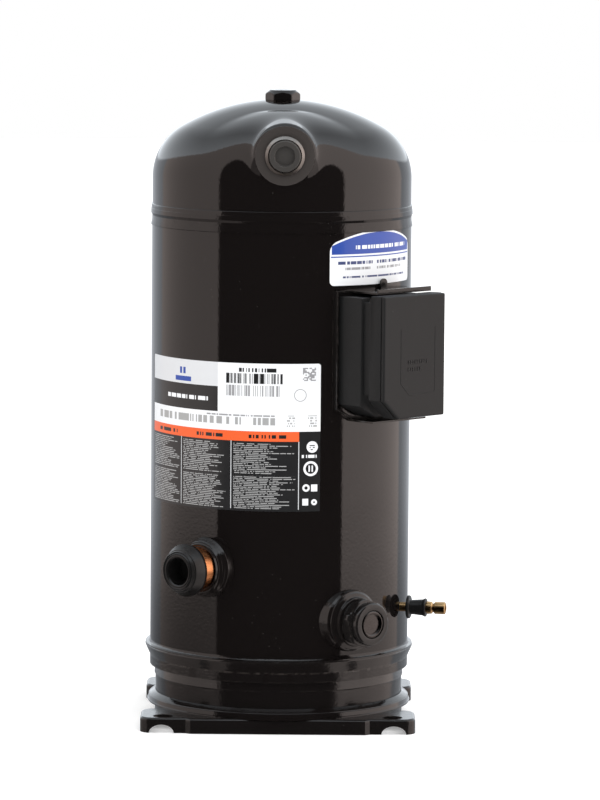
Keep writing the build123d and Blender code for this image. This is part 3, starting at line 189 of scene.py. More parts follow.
def softened(name, node, width, material, body, slot, segments=3, least=30, sharp=30):
    """A copy of a CAD node with its sharp corners rounded over, so that they catch the light."""
    mesh = frame["nodes"][node].data.copy()
    work = bmesh.new()
    work.from_mesh(mesh)
    bmesh.ops.remove_doubles(work, verts=work.verts, dist=2e-6)
    bmesh.ops.dissolve_limit(
        work, angle_limit=math.radians(0.6), verts=work.verts, edges=work.edges
    )
    edges = [e for e in work.edges if e.is_manifold and e.calc_face_angle(0) > math.radians(least)]
    bmesh.ops.bevel(
        work, geom=edges, offset=width * mm, segments=segments, profile=0.5,
        affect="EDGES", clamp_overlap=True, offset_type="OFFSET",
    )
    work.to_mesh(mesh)
    work.free()
    fresh = bpy.data.meshes.new(name)
    fresh.from_pydata([v.co[:] for v in mesh.vertices], [], [list(p.vertices) for p in mesh.polygons])
    fresh.shade_smooth()
    fresh.set_sharp_from_angle(angle=math.radians(sharp))
    piece = bpy.data.objects.new(name, fresh)
    bpy.context.scene.collection.objects.link(piece)
    weigh = piece.modifiers.new("weigh", "WEIGHTED_NORMAL")
    weigh.keep_sharp = True
    held = bpy.context.evaluated_depsgraph_get()
    smooth = bpy.data.meshes.new_from_object(piece.evaluated_get(held))
    bpy.data.objects.remove(piece)
    return settled(name, smooth, material, body, slot, node)


# ================= node helpers =================

def feed(tree, socket, value):
    """Links a socket, or sets a plain number or colour."""
    if isinstance(value, bpy.types.NodeSocket):
        tree.links.new(value, socket)
    else:
        socket.default_value = value


def calc(tree, operation, *values):
    """A Math node's result."""
    node = tree.nodes.new("ShaderNodeMath")
    node.operation = operation
    for socket, value in zip(node.inputs, values):
        feed(tree, socket, value)
    return node.outputs[0]


def remap(tree, value, low, high, start=0.0, end=1.0, smooth=False):
    """A value moved from one range to another, and held inside it."""
    node = tree.nodes.new("ShaderNodeMapRange")
    if smooth:
        node.interpolation_type = "SMOOTHSTEP"
    feed(tree, node.inputs["Value"], value)
    for name, number in zip(("From Min", "From Max", "To Min", "To Max"), (low, high, start, end)):
        feed(tree, node.inputs[name], number)
    return node.outputs["Result"]


def blended(tree, mask, under, over):
    """The under colour with the over colour laid on it where the mask is."""
    node = tree.nodes.new("ShaderNodeMix")
    node.data_type = "RGBA"
    feed(tree, node.inputs[0], mask)
    feed(tree, node.inputs[6], under)
    feed(tree, node.inputs[7], over)
    return node.outputs[2]


def noise(tree, vector, scale, detail=3.0, rough=0.55, stretch=None):
    """Noise on a vector whose scale counts features to the metre."""
    if stretch:
        pull = tree.nodes.new("ShaderNodeVectorMath")
        pull.operation = "MULTIPLY"
        feed(tree, pull.inputs[0], vector)
        pull.inputs[1].default_value = stretch
        vector = pull.outputs[0]
    node = tree.nodes.new("ShaderNodeTexNoise")
    feed(tree, node.inputs["Vector"], vector)
    feed(tree, node.inputs["Scale"], scale)
    node.inputs["Detail"].default_value = detail
    node.inputs["Roughness"].default_value = rough
    return node.outputs["Fac"]


def group(name, inputs, outputs):
    """An empty node group with named inputs and outputs, and its two end nodes."""
    tree = bpy.data.node_groups.new(name, "ShaderNodeTree")
    for label, kind in inputs:
        tree.interface.new_socket(label, in_out="INPUT", socket_type=kind)
    for label, kind in outputs:
        tree.interface.new_socket(label, in_out="OUTPUT", socket_type=kind)
    return tree, tree.nodes.new("NodeGroupInput").outputs, tree.nodes.new("NodeGroupOutput").inputs


def placed(tree, made, **values):
    """A group placed in a tree with its own values; an underscore in a name stands for a space."""
    node = tree.nodes.new("ShaderNodeGroup")
    node.node_tree = made
    for name, value in values.items():
        feed(tree, node.inputs[name.replace("_", " ")], value)
    return node.outputs


number, vector = "NodeSocketFloat", "NodeSocketVector"


# ================= effects shared by materials =================

def make_peel():
    """The faint orange peel and slow waves of a sprayed or baked film."""
    tree, given, out = group(
        "spray_peel", [("Vector", vector), ("Peel Scale", number), ("Wave", number)], [("Height", number)]
    )
    fine = noise(tree, given["Vector"], given["Peel Scale"], 2.0, 0.5)
    slow = noise(tree, given["Vector"], 22.0, 1.0, 0.4)
    feed(tree, out["Height"], calc(tree, "MULTIPLY_ADD", slow, given["Wave"], fine))
    return tree


def make_specks():
    """Small settled dust specks and dull rubbed patches."""
    tree, given, out = group(
        "dust_specks", [("Vector", vector), ("Amount", number)], [("Specks", number), ("Dull", number)]
    )
    cells = tree.nodes.new("ShaderNodeTexVoronoi")
    feed(tree, cells.inputs["Vector"], given["Vector"])
    cells.inputs["Scale"].default_value = 260.0
    near = remap(tree, cells.outputs["Distance"], 0.05, 0.11, 1.0, 0.0)
    pick = noise(tree, given["Vector"], 60.0, 1.0)
    few = remap(tree, pick, 0.60, 0.66)
    feed(tree, out["Specks"], calc(tree, "MULTIPLY", calc(tree, "MULTIPLY", near, few), given["Amount"]))
    patch = noise(tree, given["Vector"], 13.0, 5.0, 0.65)
    feed(tree, out["Dull"], calc(tree, "MULTIPLY", remap(tree, patch, 0.5, 0.78), given["Amount"]))
    return tree


def make_rub():
    """Corners rubbed by handling: where the surface turns within a short distance, broken up by noise."""
    tree, given, out = group(
        "edge_rub", [("Vector", vector), ("Reach", number), ("Amount", number)], [("Mask", number)]
    )
    soft = tree.nodes.new("ShaderNodeBevel")
    soft.samples = 4
    feed(tree, soft.inputs["Radius"], given["Reach"])
    hard = tree.nodes.new("ShaderNodeNewGeometry")
    dot = tree.nodes.new("ShaderNodeVectorMath")
    dot.operation = "DOT_PRODUCT"
    feed(tree, dot.inputs[0], soft.outputs[0])
    feed(tree, dot.inputs[1], hard.outputs["Normal"])
    turn = remap(tree, dot.outputs["Value"], 0.97, 0.80)
    broken = remap(tree, noise(tree, given["Vector"], 190.0, 4.0, 0.7), 0.44, 0.62)
    feed(tree, out["Mask"], calc(tree, "MULTIPLY", calc(tree, "MULTIPLY", turn, broken), given["Amount"]))
    return tree


def make_grain():
    """The fine even texture of moulded plastic and rubber, and the grain of cast metal."""
    tree, given, out = group(
        "fine_grain", [("Vector", vector), ("Scale", number)], [("Height", number), ("Tone", number)]
    )
    feed(tree, out["Height"], noise(tree, given["Vector"], given["Scale"], 4.0, 0.6))
    feed(tree, out["Tone"], noise(tree, given["Vector"], 34.0, 4.0, 0.6))
    return tree


def make_brush():
    """Fine parallel tool marks along one direction of the vector."""
    tree, given, out = group("tool_marks", [("Vector", vector)], [("Lines", number)])
    feed(tree, out["Lines"], noise(tree, given["Vector"], 90.0, 5.0, 0.7, (1.0, 1.0, 40.0)))
    return tree


peel, specks, rub, grain, brush = make_peel(), make_specks(), make_rub(), make_grain(), make_brush()


# ================= materials =================

def material_of(name, **values):
    """A new material with its Principled shader's own sockets set, and its object coordinates."""
    made = bpy.data.materials.new(name)
    made.use_nodes = True
    tree = made.node_tree
    shader = next(n for n in tree.nodes if n.type == "BSDF_PRINCIPLED")
    for label, value in values.items():
        shader.inputs[label.replace("_", " ")].default_value = value
    place = tree.nodes.new("ShaderNodeTexCoord").outputs["Object"]
    return made, tree, shader.inputs, place


def bumped(tree, sockets, height, depth, strength=1.0):
    """Feeds a height to the shader's normal. The depth is in metres."""
    node = tree.nodes.new("ShaderNodeBump")
    node.inputs["Distance"].default_value = depth
    node.inputs["Strength"].default_value = strength
    feed(tree, node.inputs["Height"], height)
    feed(tree, sockets["Normal"], node.outputs[0])


def enamel(name, base, gloss, peel_depth=0.00003, wave=2.0, rubbed=0.0, streaks=0.0):
    """Black baked enamel over steel: orange peel, slow waves, dust and, where asked, rubbed corners."""
    made, tree, sockets, place = material_of(name, Specular_IOR_Level=0.5)
    film = placed(tree, peel, Vector=place, Peel_Scale=420.0, Wave=wave)
    dust = placed(tree, specks, Vector=place, Amount=0.28)
    height = film["Height"]
    if streaks:
        run = noise(tree, place, 26.0, 4.0, 0.6, (1.0, 1.0, 5.5))
        height = calc(tree, "MULTIPLY_ADD", run, streaks, height)
    colour = blended(tree, dust["Specks"], (*base, 1), (0.16, 0.15, 0.14, 1))
    rough = remap(tree, dust["Dull"], 0.0, 1.0, gloss, gloss + 0.10)
    if rubbed:
        worn = placed(tree, rub, Vector=place, Reach=0.0012, Amount=rubbed)["Mask"]
        colour = blended(tree, worn, colour, (0.10, 0.085, 0.075, 1))
        rough = calc(tree, "MULTIPLY_ADD", worn, 0.25, rough)
    feed(tree, sockets["Base Color"], colour)
    feed(tree, sockets["Roughness"], rough)
    bumped(tree, sockets, height, peel_depth)
    return made


def moulded(name, base, rough, texture=900.0, depth=0.00006, rubbed=0.3, lift=1.5, shine=0.4):
    """Moulded plastic or rubber: an even fine texture, slight tone changes and paler rubbed corners."""
    made, tree, sockets, place = material_of(name, Specular_IOR_Level=shine)
    skin = placed(tree, grain, Vector=place, Scale=texture)
    dust = placed(tree, specks, Vector=place, Amount=0.3)
    worn = placed(tree, rub, Vector=place, Reach=0.001, Amount=rubbed)["Mask"]
    darker = tuple(c * 0.86 for c in base)
    paler = tuple(min(1.0, c * lift + 0.02) for c in base)
    colour = blended(tree, skin["Tone"], (*darker, 1), (*base, 1))
    colour = blended(tree, worn, colour, (*paler, 1))
    feed(tree, sockets["Base Color"], blended(tree, dust["Specks"], colour, (0.2, 0.19, 0.18, 1)))
    feed(tree, sockets["Roughness"], remap(tree, dust["Dull"], 0.0, 1.0, rough, rough + 0.14))
    bumped(tree, sockets, skin["Height"], depth)
    return made


def bare(name, base, dark, rough, depth=0.00003, metal=1.0, texture=420.0, tarnish=0.5):
    """Bare or plated metal: tool marks, a fine grain, and patches of tarnish."""
    made, tree, sockets, place = material_of(name, Metallic=metal)
    skin = placed(tree, grain, Vector=place, Scale=texture)
    marks = placed(tree, brush, Vector=place)["Lines"]
    worn = placed(tree, rub, Vector=place, Reach=0.0008, Amount=0.35)["Mask"]
    patch = remap(tree, skin["Tone"], 0.40, 0.66, 0.0, tarnish)
    colour = blended(tree, patch, (*base, 1), (*dark, 1))
    paler = tuple(min(1.0, c * 1.25) for c in base)
    feed(tree, sockets["Base Color"], blended(tree, worn, colour, (*paler, 1)))
    feed(tree, sockets["Roughness"], remap(tree, marks, 0.3, 0.7, rough - 0.05, rough + 0.09))
    bumped(tree, sockets, calc(tree, "ADD", marks, skin["Height"]), depth)
    return made


shell_paint = enamel("shell_enamel", (0.0065, 0.0052, 0.0050), 0.055)
weld_paint = enamel("weld_enamel", (0.0065, 0.0052, 0.0050), 0.09, 0.00010, 2.5, 0.0, 1.2)
ring_paint = enamel("ring_enamel", (0.0070, 0.0058, 0.0056), 0.11, 0.00009, 2.5, 0.25, 1.6)
base_paint = enamel("base_enamel", (0.0075, 0.0062, 0.0060), 0.16, 0.00006, 2.0, 0.6)
tray_paint = enamel("tray_enamel", (0.0070, 0.0060, 0.0058), 0.12, 0.00004, 1.5, 0.7)
finishes = {
    "gloss_black_steel": shell_paint,
    "dark_steel": bare("dark_steel_finish", (0.30, 0.285, 0.27), (0.17, 0.16, 0.15), 0.38),
    "black_rubber": moulded("rubber_finish", (0.0075, 0.0072, 0.0072), 0.30, 700.0, 0.00004, 0.25, 1.3),
    "copper": bare("copper_finish", (0.86, 0.36, 0.15), (0.50, 0.18, 0.07), 0.27),
    "brass": bare("brass_finish", (0.62, 0.41, 0.20), (0.36, 0.22, 0.10), 0.32),
    "black_plastic": moulded("sleeve_plastic", (0.008, 0.008, 0.008), 0.36),
    "cover_plastic": moulded("cover_plastic_finish", (0.0165, 0.0165, 0.0168), 0.50, 1100.0, 0.00005, 0.3, 1.4, 0.26),
    "block_plastic": moulded("phenolic", (0.20, 0.13, 0.07), 0.45),
    "zinc_steel": bare("zinc_finish", (0.62, 0.62, 0.60), (0.40, 0.40, 0.39), 0.30),
    "green_zinc": bare("green_passivate", (0.10, 0.32, 0.14), (0.05, 0.18, 0.08), 0.35),
    "core_steel": bare("lamination_finish", (0.34, 0.35, 0.37), (0.18, 0.18, 0.20), 0.40),
    "copper_winding": bare("winding_varnish", (0.50, 0.20, 0.08), (0.26, 0.09, 0.03), 0.30, 0.0004, 0.8, 300.0),
    "cast_aluminium": bare("cast_aluminium_finish", (0.66, 0.66, 0.68), (0.44, 0.44, 0.46), 0.42, 0.0001),
    "cast_steel": bare("sintered_finish", (0.28, 0.28, 0.28), (0.16, 0.16, 0.16), 0.48, 0.0001),
    "machined_steel": bare("ground_steel", (0.56, 0.57, 0.58), (0.38, 0.38, 0.40), 0.22),
    "bearing_bronze": bare("bronze_finish", (0.60, 0.40, 0.20), (0.36, 0.22, 0.10), 0.32),
    "cast_iron": bare("cast_iron_finish", (0.22, 0.22, 0.23), (0.12, 0.12, 0.13), 0.50, 0.00014, 1.0, 260.0),
    "magnet": bare("ferrite_finish", (0.09, 0.09, 0.095), (0.05, 0.05, 0.05), 0.45, 0.00006, 0.3),
    "label_film": None,
}
nut_steel = enamel("nut_enamel", (0.009, 0.008, 0.0078), 0.14, 0.00005, 2.0, 0.5)
glass_rim = bare("disc_finish", (0.085, 0.080, 0.078), (0.05, 0.046, 0.045), 0.26)
pad_paint = enamel("pad_enamel", (0.046, 0.039, 0.036), 0.30, 0.00006, 2.0, 0.3)
plug_paint = enamel("plug_enamel", (0.0075, 0.0062, 0.0060), 0.10, 0.00004, 1.5, 0.5)
seal_black = moulded("closure_plastic", (0.050, 0.046, 0.043), 0.30, 500.0, 0.00004)


# ================= label printing =================

def make_patch():
    """A printed rectangle on a film whose place is in millimetres."""
    names = ("Left", "Right", "Low", "High")
    tree, given, out = group(
        "print_patch", [("Place", vector)] + [(n, number) for n in names], [("Mask", number)]
    )
    split = tree.nodes.new("ShaderNodeSeparateXYZ")
    feed(tree, split.inputs[0], given["Place"])
    across, up = split.outputs[0], split.outputs[1]
    wide = calc(tree, "MULTIPLY", calc(tree, "GREATER_THAN", across, given["Left"]),
                calc(tree, "LESS_THAN", across, given["Right"]))
    tall = calc(tree, "MULTIPLY", calc(tree, "GREATER_THAN", up, given["Low"]),
                calc(tree, "LESS_THAN", up, given["High"]))
    feed(tree, out["Mask"], calc(tree, "MULTIPLY", wide, tall))
    return tree


def make_rules():
    """Rows of short broken strokes: cells of a grid, some of them left empty, each row ending at its own place."""
    names = ("Left", "Length", "Low", "Pitch", "Stroke", "Cell", "Fill", "Ragged")
    tree, given, out = group(
        "print_rules", [("Place", vector)] + [(n, number) for n in names], [("Mask", number)]
    )
    split = tree.nodes.new("ShaderNodeSeparateXYZ")
    feed(tree, split.inputs[0], given["Place"])
    along = calc(tree, "SUBTRACT", split.outputs[0], given["Left"])
    up = calc(tree, "DIVIDE", calc(tree, "SUBTRACT", split.outputs[1], given["Low"]), given["Pitch"])
    row = calc(tree, "FLOOR", up)
    inked = calc(tree, "LESS_THAN", calc(tree, "FRACT", up), given["Stroke"])
    column = calc(tree, "FLOOR", calc(tree, "DIVIDE", along, given["Cell"]))
    spot = tree.nodes.new("ShaderNodeCombineXYZ")
    feed(tree, spot.inputs[0], column)
    feed(tree, spot.inputs[1], row)
    feed(tree, spot.inputs[2], given["Left"])
    chance = tree.nodes.new("ShaderNodeTexWhiteNoise")
    feed(tree, chance.inputs["Vector"], spot.outputs[0])
    kept = calc(tree, "LESS_THAN", chance.outputs["Value"], given["Fill"])
    line = tree.nodes.new("ShaderNodeTexWhiteNoise")
    line.noise_dimensions = "1D"
    feed(tree, line.inputs["W"], calc(tree, "MULTIPLY_ADD", given["Left"], 7.0, row))
    cut = calc(tree, "MULTIPLY", calc(tree, "MULTIPLY", line.outputs["Value"], given["Ragged"]), given["Length"])
    ends = calc(tree, "LESS_THAN", along, calc(tree, "SUBTRACT", given["Length"], cut))
    feed(tree, out["Mask"], calc(tree, "MULTIPLY", calc(tree, "MULTIPLY", inked, kept), ends))
    return tree


def make_ring():
    """A printed ring or, with no bore, a disc."""
    names = ("Across", "Up", "Inner", "Outer")
    tree, given, out = group(
        "print_ring", [("Place", vector)] + [(n, number) for n in names], [("Mask", number)]
    )
    spot = tree.nodes.new("ShaderNodeCombineXYZ")
    feed(tree, spot.inputs[0], given["Across"])
    feed(tree, spot.inputs[1], given["Up"])
    far = tree.nodes.new("ShaderNodeVectorMath")
    far.operation = "DISTANCE"
    feed(tree, far.inputs[0], given["Place"])
    feed(tree, far.inputs[1], spot.outputs[0])
    feed(tree, out["Mask"], calc(
        tree, "MULTIPLY", calc(tree, "LESS_THAN", far.outputs["Value"], given["Outer"]),
        calc(tree, "GREATER_THAN", far.outputs["Value"], given["Inner"])))
    return tree


patch_group, rules_group, ring_group = make_patch(), make_rules(), make_ring()
film_span = 0.2  # one unit of a label's UV map, in metres


class Printing:
    """A label's material, printed one ink over another. Places are millimetres from its lower left corner."""

    def __init__(self, name, ground, rough):
        self.made, self.tree, self.sockets, self.object = material_of(name, Coat_Weight=0.15)
        uv = self.tree.nodes.new("ShaderNodeTexCoord").outputs["UV"]
        scale = self.tree.nodes.new("ShaderNodeVectorMath")
        scale.operation = "SCALE"
        feed(self.tree, scale.inputs[0], uv)
        scale.inputs["Scale"].default_value = film_span / mm
        self.place = scale.outputs[0]
        self.colour = (*ground, 1)
        self.rough = rough

    def ink(self, mask, colour):
        self.colour = blended(self.tree, mask, self.colour, (*colour, 1))

    def patch(self, colour, left, right, low, high):
        self.ink(placed(self.tree, patch_group, Place=self.place, Left=left, Right=right, Low=low,
                        High=high)["Mask"], colour)

    def rules(self, colour, left, right, low, high, pitch, stroke=0.5, cell=1.0, fill=0.8, ragged=0.0):
        lines = placed(self.tree, rules_group, Place=self.place, Left=left, Length=right - left, Low=low,
                       Pitch=pitch, Stroke=stroke, Cell=cell, Fill=fill, Ragged=ragged)["Mask"]
        frame_mask = placed(self.tree, patch_group, Place=self.place, Left=left, Right=right, Low=low,
                            High=high)["Mask"]
        self.ink(calc(self.tree, "MULTIPLY", lines, frame_mask), colour)

    def ring(self, colour, across, up, inner, outer):
        self.ink(placed(self.tree, ring_group, Place=self.place, Across=across, Up=up, Inner=inner,
                        Outer=outer)["Mask"], colour)

    def done(self):
        dust = placed(self.tree, specks, Vector=self.object, Amount=0.6)
        skin = placed(self.tree, grain, Vector=self.object, Scale=260.0)
        dulled = blended(self.tree, calc(self.tree, "MULTIPLY", skin["Tone"], 0.035), self.colour,
                         (0.42, 0.42, 0.42, 1))
        feed(self.tree, self.sockets["Base Color"], dulled)
        feed(self.tree, self.sockets["Roughness"],
             remap(self.tree, dust["Dull"], 0.0, 1.0, self.rough, self.rough + 0.12))
        bumped(self.tree, self.sockets, skin["Height"], 0.00003)
        return self.made


white, pale, grey = (0.84, 0.85, 0.87), (0.66, 0.67, 0.69), (0.30, 0.30, 0.31)
ink_black, orange, blue = (0.010, 0.010, 0.011), (0.84, 0.105, 0.010), (0.012, 0.058, 0.34)
navy, chalk = (0.03, 0.05, 0.16), (0.36, 0.36, 0.36)


def label_range(node):
    """A wrapped label's first and last bearing, from the corners of its CAD mesh, and its two heights."""
    spots = [vertex.co for vertex in frame["nodes"][node].data.vertices]
    turns = [math.degrees(math.atan2(spot.x, -spot.y)) for spot in spots]
    low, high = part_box(node)
    return min(turns), max(turns), low.z, high.z


def wrapped(name, node, corners, arch, material):
    """A film round the shell with rounded corners. The arch is how far its upper edge falls to the sides."""
    first, last, low, high = label_range(node)
    width = math.radians(last - first) * shell_radius / mm
    tall = (high - low) / mm
    columns = 0.5 - 0.5 * np.cos(np.linspace(0, math.pi, 97))
    rows = 14

    def corner_rise(across, radius):
        """How far a rounded corner moves the edge in, at a distance from the side."""
        side = min(across, width - across)
        return radius - math.sqrt(max(0.0, radius**2 - (radius - min(side, radius)) ** 2)) if radius else 0

    vertices, uvs = [], []
    for skin in (0.25, 0.02):
        for share in columns:
            across = share * width
            below = corner_rise(across, corners[0])
            above = tall - corner_rise(across, corners[1]) - arch * (2 * share - 1) ** 2
            turn = math.radians(first) + across * mm / shell_radius
            reach = shell_radius + skin * mm
            for row in range(rows + 1):
                up = below + (above - below) * row / rows
                vertices.append((reach * math.sin(turn), -reach * math.cos(turn), low + up * mm))
                uvs.append((across * mm / film_span, up * mm / film_span))
    size = rows + 1
    half = len(columns) * size
    faces = []
    for k in range(len(columns) - 1):
        for row in range(rows):
            a = k * size + row
            faces.append((a, a + size, a + size + 1, a + 1))
            faces.append((half + a + 1, half + a + size + 1, half + a + size, half + a))
    rim = [k * size for k in range(len(columns))]
    rim += [(len(columns) - 1) * size + row for row in range(1, size)]
    rim += [k * size + rows for k in range(len(columns) - 2, -1, -1)]
    rim += [row for row in range(rows - 1, 0, -1)]
    for here, there in zip(rim, rim[1:] + rim[:1]):
        faces.append((there, here, half + here, half + there))
    mesh = bpy.data.meshes.new(name)
    mesh.from_pydata(vertices, [], faces)
    layer = mesh.uv_layers.new(name="film")
    for loop in mesh.loops:
        layer.data[loop.index].uv = uvs[loop.vertex_index]
    mesh.shade_smooth()
    mesh.set_sharp_from_angle(angle=math.radians(38))
    return settled(name, mesh, material, "shell", "label_film", node)


def main_printing():
    """The wrapped main label: a data field over an orange band and a dark field of fine print."""
    first, _, low, _ = label_range("main_label")

    def at(bearing):
        return math.radians(bearing - first) * shell_radius / mm

    def up(height):
        return height - low / mm

    film = Printing("main_label_film", white, 0.30)
    film.patch(pale, 0, at(-28), up(289.5), 200)
    film.patch(ink_black, 0, at(-28), up(268.7), up(289.5))
    film.patch(blue, at(-49.5), at(-48.1), up(297.8), up(303.2))
    film.patch(blue, at(-47.3), at(-45.8), up(297.8), up(303.2))
    film.patch(blue, at(-52.6), at(-42.4), up(291.6), up(295.6))
    film.rules(white, at(-58.5), at(-33), up(277), up(280.6), 3.7, 0.9, 1.1, 0.72)
    film.rules(ink_black, at(-18.4), at(-1.6), up(302.4), up(306), 3.7, 0.9, 0.62, 0.5)
    film.rules(ink_black, at(-24), at(1.1), up(292.8), up(301.2), 9.0, 0.95, 0.48, 0.52)
    film.rules(grey, at(-24.2), at(0.2), up(282.4), up(291.4), 9.2, 0.97, 0.56, 0.48)
    film.rules(grey, at(9.8), at(15.6), up(295.4), up(306.4), 1.1, 1.0, 1.1, 0.55)
    film.ring(grey, at(8.8), up(283.6), 4.6, 5.2)
    film.rules(chalk, at(-66), at(-2), up(258.6), up(264.8), 6.4, 0.95, 1.3, 0.6)
    film.rules(grey, at(-34), at(-2.2), up(265.6), up(267.0), 1.6, 0.8, 0.8, 0.75)
    film.rules(chalk, at(3.0), at(6.6), up(257.4), up(266.8), 2.2, 0.6, 0.9, 0.6)
    film.rules(chalk, at(12.2), at(16.2), up(257.4), up(266.8), 2.2, 0.6, 0.9, 0.6)
    film.patch(ink_black, 0, 500, 0, up(253.4))
    film.patch(orange, 0, at(8.4), up(245.1), up(253.4))
    for start, end in ((-66, -51), (-39, -25.5), (-13.5, 3.5)):
        film.rules(ink_black, at(start), at(end), up(247.6), up(250.6), 3.2, 0.92, 1.2, 0.68)
    for start, end in ((-72.8, -49.4), (-47, -22.6), (-20.4, 7.2)):
        film.rules(chalk, at(start), at(end), up(218.2), up(243.2), 1.52, 0.46, 0.9, 0.84, 0.5)
        film.rules(chalk, at(start), at(end), up(189), up(216.4), 1.44, 0.46, 0.9, 0.86, 0.35)
    for bearing in (-48.3, -21.5, 8.3):
        film.patch(pale, at(bearing) - 0.32, at(bearing) + 0.32, up(188.6), up(245.1))
    film.ring(white, at(14.2), up(240.6), 0.0, 4.8)
    film.rules(ink_black, at(14.2) - 2.2, at(14.2) + 2.2, up(238), up(243), 1.7, 0.5, 0.9, 0.7)
    film.rules(white, at(9.6), at(16.4), up(231.6), up(234.2), 2.8, 0.9, 0.9, 0.75)
    film.ring(white, at(13.6), up(222.6), 4.3, 6.2)
    film.patch(white, at(13.6) - 1.9, at(13.6) - 0.7, up(220), up(225.2))
    film.patch(white, at(13.6) + 0.7, at(13.6) + 1.9, up(220), up(225.2))
    film.ring(white, at(11.6), up(206.6), 1.4, 3.1)
    film.patch(white, at(13.8), at(16.6), up(203.6), up(209.4))
    film.patch(white, at(10.0), at(12.6), up(192.0), up(197.6))
    film.ring(white, at(15.2), up(194.6), 0.8, 2.5)
    return film.done()


side_arch = 11.0


def side_printing():
    """The small label above the terminal box: a blue head over a white field of fine print."""
    first, last, low, high = label_range("side_label")
    width = math.radians(last - first) * shell_radius / mm
    tall = (high - low) / mm
    line = tall * 0.52
    film = Printing("side_label_film", white, 0.28)
    arch_radius = ((width / 2) ** 2 + side_arch**2) / (2 * side_arch)
    film.patch(blue, 1.6, width - 1.6, line + 2.4, tall + 1)
    film.ring(white, width / 2, tall - arch_radius, arch_radius - 1.6, arch_radius + 40.0)
    film.rules(white, width * 0.24, width * 0.90, line + 6.4, line + 9.6, 3.4, 0.92, 0.9, 0.74)
    film.patch(blue, 1.0, width - 1.0, line - 0.1, line + 0.9)
    film.rules(navy, 6, width * 0.42, line - 6.0, line - 3.2, 2.9, 0.9, 0.7, 0.78)
    film.rules(navy, width * 0.47, width - 6, line - 6.0, line - 3.2, 2.9, 0.9, 0.7, 0.78)
    film.rules(grey, 14, width * 0.40, line - 10.6, line - 8.2, 2.5, 0.85, 0.6, 0.76)
    film.rules(grey, width * 0.47, width * 0.82, line - 10.6, line - 8.2, 2.5, 0.85, 0.6, 0.76)
    film.rules(navy, 12, width * 0.88, line - 17.2, line - 15.6, 1.8, 0.85, 0.9, 0.85)
    return film.done()


# ================= shell =================

upright = Matrix.Translation((0, 0, 0))


def make_tube():
    inner = (shell_radius - wall) / mm
    outer = shell_radius / mm
    low, high = tube_low / mm, tube_high / mm
    bands = [low + (high - low) * k / 24 for k in range(25)]
    outline = [(outer, z) for z in bands] + [(inner, high), (inner, low)]
    turned("shell_tube_skin", upright, outline, shell_paint, "shell", "gloss_black_steel", "shell_tube",
           around=256)


crown_radius, knuckle_radius, knuckle_height = 0.1692, 0.0500, 0.4571
boss_axis = Vector(joint_named("discharge_plug_pull")["axis"])
boss_height = middle_of("discharge_plug").z
boss_reach, boss_radius, boss_edge = 0.1109, 0.0262, 0.0045
boss_taper = math.tan(math.radians(6.5))
boss_run = 0.0609
boss_seat = seat(boss_axis * boss_reach + Vector((0, 0, boss_height)), boss_axis)


def cap_distance(spots):
    """Signed distance from the dome and its boss, joined with a blend that widens away from the pad."""
    x, y, z = spots[..., 0], spots[..., 1], spots[..., 2]
    r = np.hypot(x, y)
    ring = cap_skirt - knuckle_radius
    drop = math.sqrt((crown_radius - knuckle_radius) ** 2 - ring**2)
    crown_z = knuckle_height - drop
    lean = math.atan2(drop, ring)
    crown = np.hypot(r, z - crown_z) - crown_radius
    knuckle = np.hypot(r - ring, z - knuckle_height) - knuckle_radius
    dome = np.where(np.arctan2(z - crown_z, r) > lean, crown, np.where(z > knuckle_height, knuckle, r - cap_skirt))
    along = x * boss_axis.x + y * boss_axis.y - boss_reach
    side = x * boss_axis.y - y * boss_axis.x
    from_axis = np.hypot(side, z - boss_height)
    flank = (from_axis - boss_radius + along * boss_taper) * math.cos(math.atan(boss_taper)) + boss_edge
    front = along + boss_edge
    boss = np.minimum(np.maximum(flank, front), 0) + np.hypot(np.maximum(flank, 0), np.maximum(front, 0))
    boss = boss - boss_edge
    behind = -along - boss_run
    ease = 0.012
    over = np.clip(1 - np.abs(boss - behind) / ease, 0, 1)
    boss = np.maximum(boss, behind) + ease / 4 * over * over
    depth = np.clip(-along / boss_run, 0, 1.15)
    beside = np.abs(side) / np.maximum(from_axis, 1e-6)
    width = 0.0030 + (0.008 + 0.026 * beside * beside) * np.sin(depth * math.pi / 1.15)
    share = np.clip(0.5 + 0.5 * (boss - dome) / width, 0, 1)
    return boss * (1 - share) + dome * share - width * share * (1 - share)


